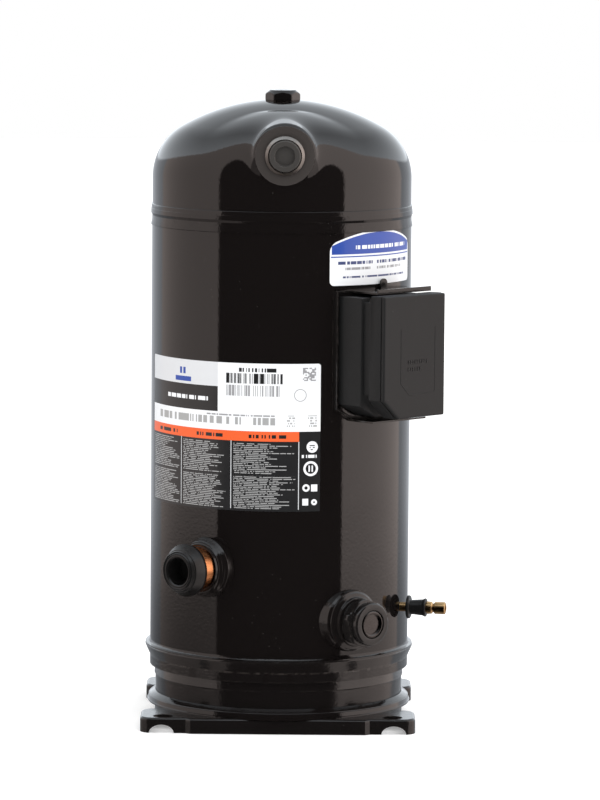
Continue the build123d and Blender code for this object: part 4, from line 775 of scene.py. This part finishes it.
def make_top_cap():
    """Rays from a point inside the cap meet its skin once each; their ends are the mesh's points."""
    eye = np.array((0.0, 0.0, 0.444))
    boss_bearing = math.degrees(math.atan2(boss_axis.x, -boss_axis.y))
    fine, coarse = 0.7, 2.4
    bearings = list(np.arange(-35, 35, fine)) + list(np.linspace(35, 325, round(290 / coarse), endpoint=False))
    bearings = np.radians(np.array(bearings) + boss_bearing)
    rim = math.degrees(math.atan2(cap_low - eye[2], cap_skirt))
    lifts = list(np.linspace(rim, -1, 6)) + list(np.arange(0, 52, 0.6)) + list(np.linspace(52, 89.2, 34))
    lifts = np.radians(lifts)
    turn, lift = np.meshgrid(bearings, lifts, indexing="ij")
    rays = np.stack([np.sin(turn) * np.cos(lift), -np.cos(turn) * np.cos(lift), np.sin(lift)], -1)
    near, far = np.full(turn.shape, 0.03), np.full(turn.shape, 0.20)
    for _ in range(34):
        half = (near + far) / 2
        inside = cap_distance(eye + rays * half[..., None]) < 0
        near, far = np.where(inside, half, near), np.where(inside, far, half)
    skin = eye + rays * near[..., None]

    def slope(spots):
        """The outward normal of the skin."""
        step = 2e-5
        axes = [cap_distance(spots + d) - cap_distance(spots - d) for d in np.eye(3) * step]
        way_out = np.stack(axes, -1)
        return way_out / np.linalg.norm(way_out, axis=-1, keepdims=True)

    normals = slope(skin)
    inner = skin - normals * wall
    inner[:, 0, 2] = cap_low
    columns, rows = turn.shape
    count = columns * rows
    vertices = np.concatenate([skin.reshape(-1, 3), inner.reshape(-1, 3), [[0, 0, apex], [0, 0, apex - wall]]])
    faces = []
    for c in range(columns):
        n = (c + 1) % columns
        for r in range(rows - 1):
            a, b, d, e = c * rows + r, n * rows + r, n * rows + r + 1, c * rows + r + 1
            faces.append((a, b, d, e))
            faces.append((count + e, count + d, count + b, count + a))
        faces.append((c * rows + rows - 1, n * rows + rows - 1, 2 * count))
        faces.append((count + n * rows + rows - 1, count + c * rows + rows - 1, 2 * count + 1))
        faces.append((n * rows, c * rows, count + c * rows, count + n * rows))
    mesh = bpy.data.meshes.new("top_cap_skin")
    mesh.from_pydata(vertices.tolist(), [], faces)
    mesh.shade_smooth()
    mesh.set_sharp_from_angle(angle=math.radians(60))
    flat = normals.reshape(-1, 3)
    held = np.concatenate([flat, -flat, [[0, 0, 1], [0, 0, -1]]])
    mesh.normals_split_custom_set_from_vertices(held.tolist())
    settled("top_cap_skin", mesh, shell_paint, "shell", "gloss_black_steel", "top_cap")


def make_upper_seam():
    """The seam: one proud round bead over a step that hardly shows."""
    outer = shell_radius / mm
    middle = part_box("upper_weld_bead")
    low, high = middle[0].z / mm, middle[1].z / mm
    inner = (cap_skirt + gap) / mm
    step_low = low - 6.5
    outline = rounded([
        (outer + 0.02, step_low),
        (outer + 0.12, step_low + 0.5, 0.3),
        (outer + 0.12, low + 0.9, 0.5),
        (outer + 2.3, low + 3.0, 2.4),
        (outer + 2.3, low + 8.0, 2.6),
        (outer + 0.1, high, 0.8),
        (inner, high),
        (inner, cap_low / mm + 0.05),
        (outer + 0.02, cap_low / mm + 0.05),
    ], 6)

    def ripple(index, angle):
        return 0.015 * math.sin(61 * angle) + 0.02 * math.sin(23 * angle)

    turned("upper_seam", upright, outline, weld_paint, "shell", "gloss_black_steel", "upper_weld_bead",
           around=320, wave=ripple)


def make_bottom_cap():
    """The dished bottom: its foot, the shelf with its crease and the ring that holds the tube."""
    low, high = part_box("bottom_cap")
    outer = high.x / mm
    inner = (shell_radius + gap) / mm
    base, top = low.z / mm, high.z / mm
    foot, crease = 104.8, 34.9
    outline = rounded([
        (0, base), (foot, base, 1.5), (foot, crease - 1.2), (foot + 0.5, crease, 0.6),
        (outer, crease + 0.6, 8.5), (outer, top - 1.2), (outer - 0.9, top, 0.7),
        (inner, top), (inner, tube_low / mm - 0.05), (foot - 4, tube_low / mm - 0.05),
        (foot - 4, base + 4, 3.0), (0, base + 4),
    ], 8)

    def dent(index, angle):
        return 0.04 * math.sin(9 * angle) + 0.03 * math.sin(31 * angle) if index else 0

    turned("bottom_cap_skin", upright, outline, ring_paint, "shell", "gloss_black_steel", "bottom_cap",
           around=256, wave=dent)


def make_lower_seams():
    """The fillet weld at the top of the ring and the one between the foot and the base."""
    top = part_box("bottom_cap")[1].z / mm
    inner = (shell_radius + gap) / mm
    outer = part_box("bottom_cap")[1].x / mm

    def ripple(index, angle):
        return 0.05 * math.sin(140 * angle) * (index in (1, 2, 3)) + 0.04 * math.sin(17 * angle)

    fillet = rounded([
        (inner, top + 0.05), (outer - 0.9, top + 0.05, 0.2), (inner + 1.9, top + 1.9, 2.2),
        (inner, top + 3.6),
    ], 4)
    turned("lower_seam", upright, fillet, weld_paint, "shell", "gloss_black_steel", "lower_weld_bead",
           around=420, wave=ripple)
    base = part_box("foot_weld_bead")[0].z / mm
    foot = 104.8
    heel = rounded([
        (foot - 1.5, base), (foot + 6.8, base, 0.1), (foot + 1.6, base + 1.2, 5.0), (foot + 0.05, base + 8.0),
    ], 4)
    turned("foot_seam", upright, heel, weld_paint, "shell", "gloss_black_steel", "foot_weld_bead",
           around=420, wave=ripple)


# ================= ports =================

def make_discharge():
    """The steel ring in the boss and the plug that closes it."""
    ring = rounded([
        (11.1, -24), (16, -24), (16, 4.1, 0.6), (13.8, 6.5, 0.6), (11.7, 6.5, 0.3), (11.1, 5.9),
    ], 4)
    turned("discharge_ring", boss_seat, ring, finishes["dark_steel"], "shell", "dark_steel",
           "discharge_fitting")
    face = rounded([
        (16.1, -0.5), (24.4, -0.5), (24.4, 0.1), (24.1, 0.2, 0.1), (16.4, 0.2, 0.1), (16.1, 0.1),
    ], 2)
    turned("boss_face_finish", boss_seat, face, pad_paint, "shell", "gloss_black_steel", around=160)
    plug = rounded([
        (0, -10), (10.8, -10), (10.8, 6.7), (12.5, 6.7, 0.3), (12.1, 8.3, 0.5), (9.0, 8.3, 0.4),
        (7.9, 5.2, 0.6), (0, 5.2),
    ], 4)
    turned("discharge_plug_body", boss_seat, plug, seal_black, "discharge_closure", "black_rubber",
           "discharge_plug")


def make_top_plug():
    """The hexagon plug at the top of the dome, its upper corners turned off."""
    seated = Matrix.Translation((0, 0, apex))
    plug = rounded([
        (0, -12), (8, -12), (8, -3), (14.8, -3), (15.2, -2), (15.2, 3.0), (14.6, 4.2), (13.8, 5.2), (12.9, 6.0),
        (11.8, 6.7), (10.6, 7.2, 0.4), (0, 7.2),
    ], 4)
    turned("top_plug_body", seated, plug, plug_paint, "shell", "dark_steel", "top_plug", around=240,
           wave=flats_cut(plug, 26.0, 30))


def make_suction():
    out = Vector(joint_named("suction_cap_pull")["axis"])
    tube_ends = (-12, 31)
    origin = middle_of("suction_tube") - out * (sum(tube_ends) / 2 * mm)
    place = seat(origin, out)
    tube = rounded([(16, -12), (17.5, -12), (17.5, 31, 0.5), (16, 31, 0.4)], 3)
    turned("suction_stub", place, tube, finishes["copper"], "shell", "copper", "suction_tube")

    def ripple(index, angle):
        return 0.03 * math.sin(38 * angle) + 0.05 * math.sin(5 * angle) if index < 12 else 0

    collar = rounded([
        (17.55, -5), (25.4, -5), (25.1, 2.2, 1.0), (23.0, 4.2, 2.0), (22.6, 6.4, 1.0),
        (22.6, 11, 2.6), (19.4, 11, 0.6), (18.5, 10.0, 0.8), (17.55, 10.2),
    ], 5)
    turned("suction_boss", place, collar, weld_paint, "shell", "gloss_black_steel", "suction_collar",
           around=144, wave=ripple)
    cap = rounded([
        (15.7, 24), (15.7, 31.2), (17.8, 31.2), (17.8, 24), (20.6, 24, 0.5), (21.2, 25.2, 0.5),
        (21.7, 27.0, 0.8), (21.7, 38, 4.4), (15.2, 38, 2.4), (14.0, 36.6, 1.0), (12.7, 37.4, 0.7),
        (11.3, 36.4, 0.9), (11.3, 20, 0.8), (0, 20), (0, 18), (15.7, 18, 1.0),
    ], 6)
    turned("suction_closure_cap", place, cap, finishes["black_rubber"], "suction_closure", "black_rubber",
           "suction_cap", around=128)


def make_oil_port():
    joint = joint_named("oil_nut_turn")
    place = seat(Vector(joint["pos_m"]), joint["axis"])

    def ripple(index, angle):
        return 0.04 * math.sin(34 * angle) + 0.06 * math.sin(7 * angle) if 0 < index < 10 else 0

    weld = rounded([
        (17.05, -8), (28.0, -8), (26.8, 1.4, 2.2), (24.8, 3.9, 1.2), (17.05, 3.9),
    ], 5)
    turned("oil_port_fillet", place, weld, weld_paint, "shell", "gloss_black_steel", "oil_port_weld",
           around=144, wave=ripple)
    spud = rounded([
        (10.5, -7), (17, -7), (17, 4), (25.3, 4, 0.5), (23.6, 6.2, 1.2), (20.5, 7.5, 0.8), (20.5, 10, 0.9),
        (16.2, 11, 0.3), (16, 21.5), (10.5, 21.5),
    ], 4)
    turned("oil_port_stem", place, spud, ring_paint, "shell", "gloss_black_steel", "oil_port_spud",
           around=128)
    nut = rounded([
        (10.7, 12), (18.4, 12, 0.2), (19.6, 12.7), (20.4, 13.4), (20.9, 14.2), (20.9, 19.6), (20.3, 20.6),
        (19.4, 21.3), (18.1, 22, 0.3), (17.9, 22.4), (17.9, 26.9), (17.3, 28.1, 0.8), (16.2, 28.5, 0.5),
        (12.4, 28.5, 0.4), (11.4, 27.9, 0.4), (10.7, 27.9),
    ], 4)
    turned("oil_port_nut_body", place, nut, nut_steel, "oil_closure", "gloss_black_steel", "oil_port_nut",
           around=240, wave=flats_cut(nut, 37.8, 12))
    disc = rounded([
        (0, 23.5), (10.6, 23.5), (10.6, 28.1, 0.3), (10.0, 28.7, 0.4), (9.2, 28.1, 0.4), (8.6, 27.4, 0.4),
        (0, 27.4),
    ], 4)
    turned("oil_port_glass", place, disc, glass_rim, "oil_closure", "dark_steel", "oil_port_disc")


def make_valve():
    out = -Vector(joint_named("valve_pin_press")["axis"])
    tip = 38.4
    core_middle = tip - 7.5
    place = seat(middle_of("valve_core") - out * (core_middle * mm), out)
    start = tip - 16.4
    stem = rounded([(2.7, -9.5), (3.95, -9.5), (3.95, 5.2, 0.6), (5.6, 6.45, 0.5), (2.7, 6.45)], 4)
    turned("valve_stem", place, stem, ring_paint, "shell", "gloss_black_steel")
    end = rounded([
        (2.6, 0), (3.9, 0), (3.9, start + 0.5), (4.7, start + 1.5, 0.3), (4.7, start + 5, 0.6),
        (3.75, start + 6.6, 0.8), (4.7, start + 8.2, 0.6), (4.7, tip, 0.5), (3.3, tip, 0.2), (2.6, tip - 0.8),
    ], 4)
    turned("valve_end", place, end, finishes["brass"], "shell", "brass", "valve_body")
    sleeve = rounded([
        (4.05, 6.5), (9.4, 6.5, 0.6), (9.4, 8.3, 0.6), (6.5, 8.9, 0.5), (6.3, 19.6, 1.5),
        (7.4, 22, 0.4), (4.05, 22),
    ], 4)
    turned("valve_collar", place, sleeve, finishes["black_plastic"], "shell", "black_plastic", "valve_sleeve")


# ================= terminal box =================

cover_axis = Vector(joint_named("cover_pull")["axis"])
box_low, box_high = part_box("terminal_cover")[0].z / mm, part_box("terminal_cover")[1].z / mm
box_half, box_face = 38.7, 156.5
cut_side, cut_rise = 18.9, 17.0
box_seat = seat(Vector((0, 0, 0)), cover_axis)


def box_loop(inset, along, corner, cut=(cut_side, cut_rise), saddle=False, lift=0):
    """The box seen from outside, in from its edge, at a distance along its axis, or on the shell behind it."""
    half, low, high = box_half - inset, box_low + inset, box_high - inset + lift
    path = rounded([
        (-half, low + cut[1], corner), (-half + cut[0], low, corner), (half, low, corner),
        (half, high, corner), (-half, high, corner),
    ], 5)
    loop = []
    for point in path:
        reach = along
        if saddle:
            curve = math.sqrt(max(0.0, (shell_radius / mm + 0.35) ** 2 - point.x**2))
            reach = max(along, curve)
        loop.append(box_seat @ Vector((point.x * mm, point.y * mm, reach * mm)))
    return loop


def make_cover():
    """The moulded cover: skirt, groove, step and face, each with its small corner radii."""
    back, groove, step, lip = 103.3, 130.7, 139.2, 152.4
    rise = 2.8
    flat_cut = (cut_side, cut_rise * 0.65)
    loops = [
        box_loop(2.5, back, 1.2, flat_cut, True),
        box_loop(0.3, back, 3.0, flat_cut, True),
        box_loop(0, back + 7, 3.0, flat_cut, True),
        box_loop(0, groove - 0.8, 3.0, flat_cut),
        box_loop(0.25, groove - 0.2, 3.0, flat_cut),
        box_loop(0.8, groove, 2.8),
        box_loop(4.2, groove, 2.0),
        box_loop(4.6, groove + 0.4, 1.8),
        box_loop(4.6, step - 0.4, 1.8),
        box_loop(4.2, step, 2.0),
        box_loop(0.6, step, 3.0),
        box_loop(0.15, step + 0.2, 3.2),
        box_loop(0, step + 0.7, 3.4),
        box_loop(0, step + 1.6, 3.4, lift=1.0),
        box_loop(0, step + 2.0, 3.4, lift=2.6),
        box_loop(0, lip - 0.7, 3.4, lift=rise),
        box_loop(0.2, lip - 0.2, 3.4, lift=rise),
        box_loop(1.7, lip, 3.0, lift=rise),
        box_loop(1.7, lip + 0.7, 3.0, lift=rise),
        box_loop(0.5, lip + 0.9, 3.2, lift=rise),
        box_loop(0.4, lip + 1.2, 3.2, lift=rise),
        box_loop(0.4, box_face - 1.6, 3.2, lift=rise),
        box_loop(0.8, box_face - 0.6, 3.0, lift=rise),
        box_loop(1.4, box_face - 0.15, 2.8, lift=rise),
        box_loop(2.2, box_face, 2.6, lift=rise),
        box_loop(4.0, box_face, 2.0, lift=rise),
    ]
    inner = [
        box_loop(5.2, box_face - 2.5, 1.6),
        box_loop(5.1, step + 1, 1.6),
        box_loop(5.1, back + 20, 1.6),
        box_loop(2.5, back + 8, 1.2, flat_cut, True),
    ]
    made_loops = inner[::-1] + loops[::-1]
    vertices = [spot for loop in made_loops for spot in loop]
    size = len(made_loops[0])
    faces = []
    order = list(range(len(made_loops)))
    back_loop = len(made_loops) - 1
    for here, there in zip(order[:-1], order[1:]):
        if here == len(inner) - 1:
            continue
        for k in range(size):
            n = (k + 1) % size
            faces.append([here * size + k, here * size + n, there * size + n, there * size + k])
    for k in range(size):
        n = (k + 1) % size
        faces.append([back_loop * size + k, back_loop * size + n, n, k])
    faces.append([(len(inner) - 1) * size + k for k in range(size)])
    faces.append([len(inner) * size + k for k in range(size)])
    finished("cover_moulding", vertices, faces, finishes["cover_plastic"], "box_cover", "cover_plastic",
             "terminal_cover", sharp=50)


def marks_tree():
    """Nodes for the cover's face: a rib along a path, and two rows of small raised bars."""
    tree = bpy.data.node_groups.new("cover_marks", "GeometryNodeTree")
    tree.interface.new_socket("Path", in_out="INPUT", socket_type="NodeSocketGeometry")
    for label in ("Rib Radius", "Turn Radius", "Bar Width", "Bar Height", "Bar Rise", "Pitch", "Row Drop"):
        tree.interface.new_socket(label, in_out="INPUT", socket_type="NodeSocketFloat")
    for label in ("Upper Count", "Lower Count", "Seed"):
        tree.interface.new_socket(label, in_out="INPUT", socket_type="NodeSocketInt")
    tree.interface.new_socket("First Bar", in_out="INPUT", socket_type="NodeSocketVector")
    tree.interface.new_socket("Material", in_out="INPUT", socket_type="NodeSocketMaterial")
    tree.interface.new_socket("Marks", in_out="OUTPUT", socket_type="NodeSocketGeometry")
    given = tree.nodes.new("NodeGroupInput").outputs

    def made(kind, output=0, **values):
        node = tree.nodes.new(kind)
        for name, value in values.items():
            feed(tree, node.inputs[name.replace("_", " ")], value)
        return node.outputs[output]

    def vector_of(**parts):
        return made("ShaderNodeCombineXYZ", **parts)

    path = made("GeometryNodeMeshToCurve", Mesh=given["Path"])
    path = made("GeometryNodeFilletCurve", Curve=path, Radius=given["Turn Radius"])
    profile = made("GeometryNodeCurvePrimitiveCircle", Resolution=12, Radius=given["Rib Radius"])
    rib = made("GeometryNodeCurveToMesh", Curve=path, Profile_Curve=profile, Fill_Caps=True)
    plan = made("GeometryNodeCurvePrimitiveQuadrilateral", Width=given["Bar Width"],
                Height=given["Bar Height"])
    plan = made("GeometryNodeFillCurve", Curve=plan)
    raised = made("GeometryNodeExtrudeMesh", Mesh=plan, Offset_Scale=given["Bar Rise"])
    under = made("GeometryNodeFlipFaces", Mesh=plan)
    whole = tree.nodes.new("GeometryNodeJoinGeometry")
    feed(tree, whole.inputs[0], raised)
    feed(tree, whole.inputs[0], under)
    bar = made("GeometryNodeMergeByDistance", Geometry=whole.outputs[0], Distance=1e-6)
    step = vector_of(X=given["Pitch"])
    drop = tree.nodes.new("ShaderNodeVectorMath")
    drop.operation = "ADD"
    feed(tree, drop.inputs[0], given["First Bar"])
    feed(tree, drop.inputs[1], vector_of(Y=given["Row Drop"]))
    rows = tree.nodes.new("GeometryNodeJoinGeometry")
    for count, start in (("Upper Count", given["First Bar"]), ("Lower Count", drop.outputs[0])):
        feed(tree, rows.inputs[0], made("GeometryNodeMeshLine", Count=given[count], Start_Location=start,
                                        Offset=step))
    chance = tree.nodes.new("FunctionNodeRandomValue")
    chance.data_type = "FLOAT_VECTOR"
    chance.inputs[0].default_value = (0.7, 0.9, 0.9)
    chance.inputs[1].default_value = (1.1, 1.0, 1.0)
    feed(tree, chance.inputs["Seed"], given["Seed"])
    bars = made("GeometryNodeInstanceOnPoints", Points=rows.outputs[0], Instance=bar, Scale=chance.outputs[0])
    both = tree.nodes.new("GeometryNodeJoinGeometry")
    feed(tree, both.inputs[0], rib)
    feed(tree, both.inputs[0], bars)
    real = made("GeometryNodeRealizeInstances", Geometry=both.outputs[0])
    painted = made("GeometryNodeSetMaterial", Geometry=real, Material=given["Material"])
    feed(tree, tree.nodes.new("NodeGroupOutput").inputs["Marks"], painted)
    return tree


def make_cover_marks():
    """The fine raised outline on the cover's face and two rows of plain raised bars."""
    left, right, low, high = -16.2, 24.2, box_low + 21.8, box_low + 76.8
    sunk = box_face - 0.22
    corners = [(left, high), (left, low + 10), (left + 10, low), (right, low + 1), (right, high)]
    path = bpy.data.meshes.new("cover_marks_path")
    path.from_pydata([(x * mm, y * mm, sunk * mm) for x, y in corners], [(k, k + 1) for k in range(4)], [])
    holder = bpy.data.objects.new("cover_marks_path", path)
    bpy.context.scene.collection.objects.link(holder)
    tree = marks_tree()
    modifier = holder.modifiers.new("marks", "NODES")
    modifier.node_group = tree
    values = {
        "Rib Radius": 0.45 * mm, "Turn Radius": 1.5 * mm, "Bar Width": 1.5 * mm, "Bar Height": 3.0 * mm,
        "Bar Rise": 0.8 * mm, "Pitch": 2.7 * mm, "Row Drop": -6.0 * mm, "Upper Count": 9,
        "Lower Count": 6, "Seed": 4, "First Bar": (-7 * mm, (box_low + 49) * mm, (box_face - 0.4) * mm),
        "Material": finishes["cover_plastic"],
    }
    for item in tree.interface.items_tree:
        if item.in_out == "INPUT" and item.name in values:
            modifier[item.identifier] = values[item.name]
    held = bpy.context.evaluated_depsgraph_get()
    mesh = bpy.data.meshes.new_from_object(holder.evaluated_get(held))
    bpy.data.objects.remove(holder)
    mesh.transform(box_seat)
    mesh.shade_smooth()
    mesh.set_sharp_from_angle(angle=math.radians(38))
    settled("cover_marks", mesh, finishes["cover_plastic"], "box_cover", "cover_plastic")


# ================= everything else =================

def dress_nodes():
    """Every CAD node that still shows, or would if it were opened, gets its slot's finish."""
    slots = {part["node"]: part["material_slot"] for part in frame["record"]["subparts"]}
    for name, thing in frame["nodes"].items():
        finish = finishes.get(slots[name])
        if finish is None:
            continue
        for held in thing.material_slots:
            held.link = "OBJECT"
            held.material = finish


def make_camera():
    """The eye stands level with the shell's upper third, a long way off."""
    scene = bpy.context.scene
    data = bpy.data.cameras.new("eye")
    data.lens, data.sensor_width = 215.6, 36.0
    data.clip_start, data.clip_end = 0.1, 40.0
    eye = bpy.data.objects.new("eye", data)
    scene.collection.objects.link(eye)
    target = Vector((0.0165, 0.0, 0.2680))
    away, lift, lean = 4.059, math.radians(6.2), math.radians(0.46)
    eye.location = target + Vector((0, -math.cos(lift), math.sin(lift))) * away
    look = (target - eye.location).to_track_quat("-Z", "Y")
    eye.rotation_mode = "QUATERNION"
    eye.rotation_quaternion = look @ Matrix.Rotation(lean, 4, "Z").to_quaternion()
    scene.camera = eye


def make_studio():
    """A white room: a dark gap in front, soft walls to the sides and a bright ceiling."""
    scene = bpy.context.scene
    scene.view_settings.view_transform = "Standard"
    world = bpy.data.worlds.new("studio")
    scene.world = world
    world.use_nodes = True
    world.cycles.sampling_method = "NONE"
    tree = world.node_tree
    back = next(n for n in tree.nodes if n.type == "BACKGROUND")
    split = tree.nodes.new("ShaderNodeSeparateXYZ")
    feed(tree, split.inputs[0], tree.nodes.new("ShaderNodeTexCoord").outputs["Generated"])
    x, y, z = split.outputs
    flat = calc(tree, "SQRT", calc(tree, "MULTIPLY_ADD", x, x, calc(tree, "MULTIPLY", y, y)))
    behind = calc(tree, "DIVIDE", y, calc(tree, "MAXIMUM", flat, 1e-4))
    gap_edge = math.cos(math.radians(57))
    far_edge = math.cos(math.radians(131))
    lit = remap(tree, behind, -gap_edge - 0.012, -gap_edge + 0.012)
    rise = remap(tree, behind, -gap_edge, -far_edge, 1.0, 0.86)
    right = remap(tree, x, -1.0, 1.0, 0.99, 1.74)
    lowest = remap(tree, x, -1.0, 1.0, 0.30, 0.62)
    fall = remap(tree, z, -0.160, -0.120, lowest, 1.0, smooth=True)
    level = calc(tree, "MULTIPLY", calc(tree, "MULTIPLY", lit, rise), right)
    beyond = remap(tree, behind, -far_edge - 0.02, -far_edge + 0.05, smooth=True)
    warm = tree.nodes.new("ShaderNodeVectorMath")
    warm.operation = "SCALE"
    warm.inputs[0].default_value = (1.0, 0.87, 0.82)
    feed(tree, warm.inputs["Scale"], level)
    standing = tree.nodes.new("ShaderNodeVectorMath")
    standing.operation = "SCALE"
    feed(tree, standing.inputs[0], blended(tree, beyond, warm.outputs[0], (0.76, 0.80, 0.86, 1)))
    feed(tree, standing.inputs["Scale"], fall)
    walls = standing.outputs[0]
    edge = calc(tree, "MINIMUM", calc(tree, "MULTIPLY_ADD", y, -0.6, 0.62), 0.77)
    over = calc(tree, "SUBTRACT", z, edge)
    overhead = tree.nodes.new("ShaderNodeVectorMath")
    overhead.operation = "SCALE"
    overhead.inputs[0].default_value = (0.94, 1.0, 1.06)
    feed(tree, overhead.inputs["Scale"], remap(tree, over, 0.0, 0.35, 1.9, 0.9))
    above = remap(tree, over, -0.015, 0.015, smooth=True)
    seen = blended(tree, above, walls, overhead.outputs[0])
    path = tree.nodes.new("ShaderNodeLightPath")
    soft_level = remap(tree, x, -1.0, 1.0, 0.95, 1.4)
    soft = tree.nodes.new("ShaderNodeCombineXYZ")
    for socket in soft.inputs:
        feed(tree, socket, soft_level)
    seen = blended(tree, path.outputs["Is Diffuse Ray"], seen, soft.outputs[0])
    seen = blended(tree, path.outputs["Is Camera Ray"], seen, (1, 1, 1, 1))
    feed(tree, back.inputs["Color"], seen)
    lamp = bpy.data.lights.new("ceiling_panel", "AREA")
    lamp.shape, lamp.size, lamp.energy = "DISK", 2.4, 16.0
    holder = bpy.data.objects.new("ceiling_panel", lamp)
    holder.location = (0.9, -1.2, 2.6)
    holder.rotation_mode = "QUATERNION"
    holder.rotation_quaternion = (Vector((0, 0, 0.25)) - holder.location).to_track_quat("-Z", "Y")
    holder.visible_glossy = False
    scene.collection.objects.link(holder)


def make_floor():
    """A wide pale floor disc with a faint mottle."""
    reach, around = 9.0, 96
    made, tree, sockets, place = material_of("floor_finish", Roughness=0.9, Specular_IOR_Level=0.1)
    mottle = noise(tree, place, 1.5, 3.0)
    feed(tree, sockets["Base Color"], blended(tree, mottle, (0.90, 0.90, 0.90, 1), (0.93, 0.93, 0.93, 1)))
    sockets["Emission Color"].default_value = (1, 1, 1, 1)
    sockets["Emission Strength"].default_value = 0.30
    vertices = [
        (reach * math.cos(2 * math.pi * k / around), reach * math.sin(2 * math.pi * k / around), floor_level)
        for k in range(around)
    ]
    mesh = bpy.data.meshes.new("floor")
    mesh.from_pydata(vertices, [], [list(range(around))])
    mesh.materials.append(made)
    floor = bpy.data.objects.new("floor", mesh)
    bpy.context.scene.collection.objects.link(floor)
    floor.visible_glossy = False


make_camera()
make_studio()
make_floor()
dress_nodes()
make_tube()
make_top_cap()
make_upper_seam()
make_bottom_cap()
make_lower_seams()
make_discharge()
make_suction()
make_oil_port()
make_valve()
make_cover()
make_cover_marks()
make_top_plug()
softened("base_pressing", "base_plate", 0.9, base_paint, "shell", "gloss_black_steel")
softened("tray_pressing", "terminal_tray", 0.45, tray_paint, "shell", "gloss_black_steel")
wrapped("main_label_film", "main_label", (0.8, 2.2), 0, main_printing())
wrapped("side_label_film", "side_label", (4.0, 6.0), side_arch, side_printing())
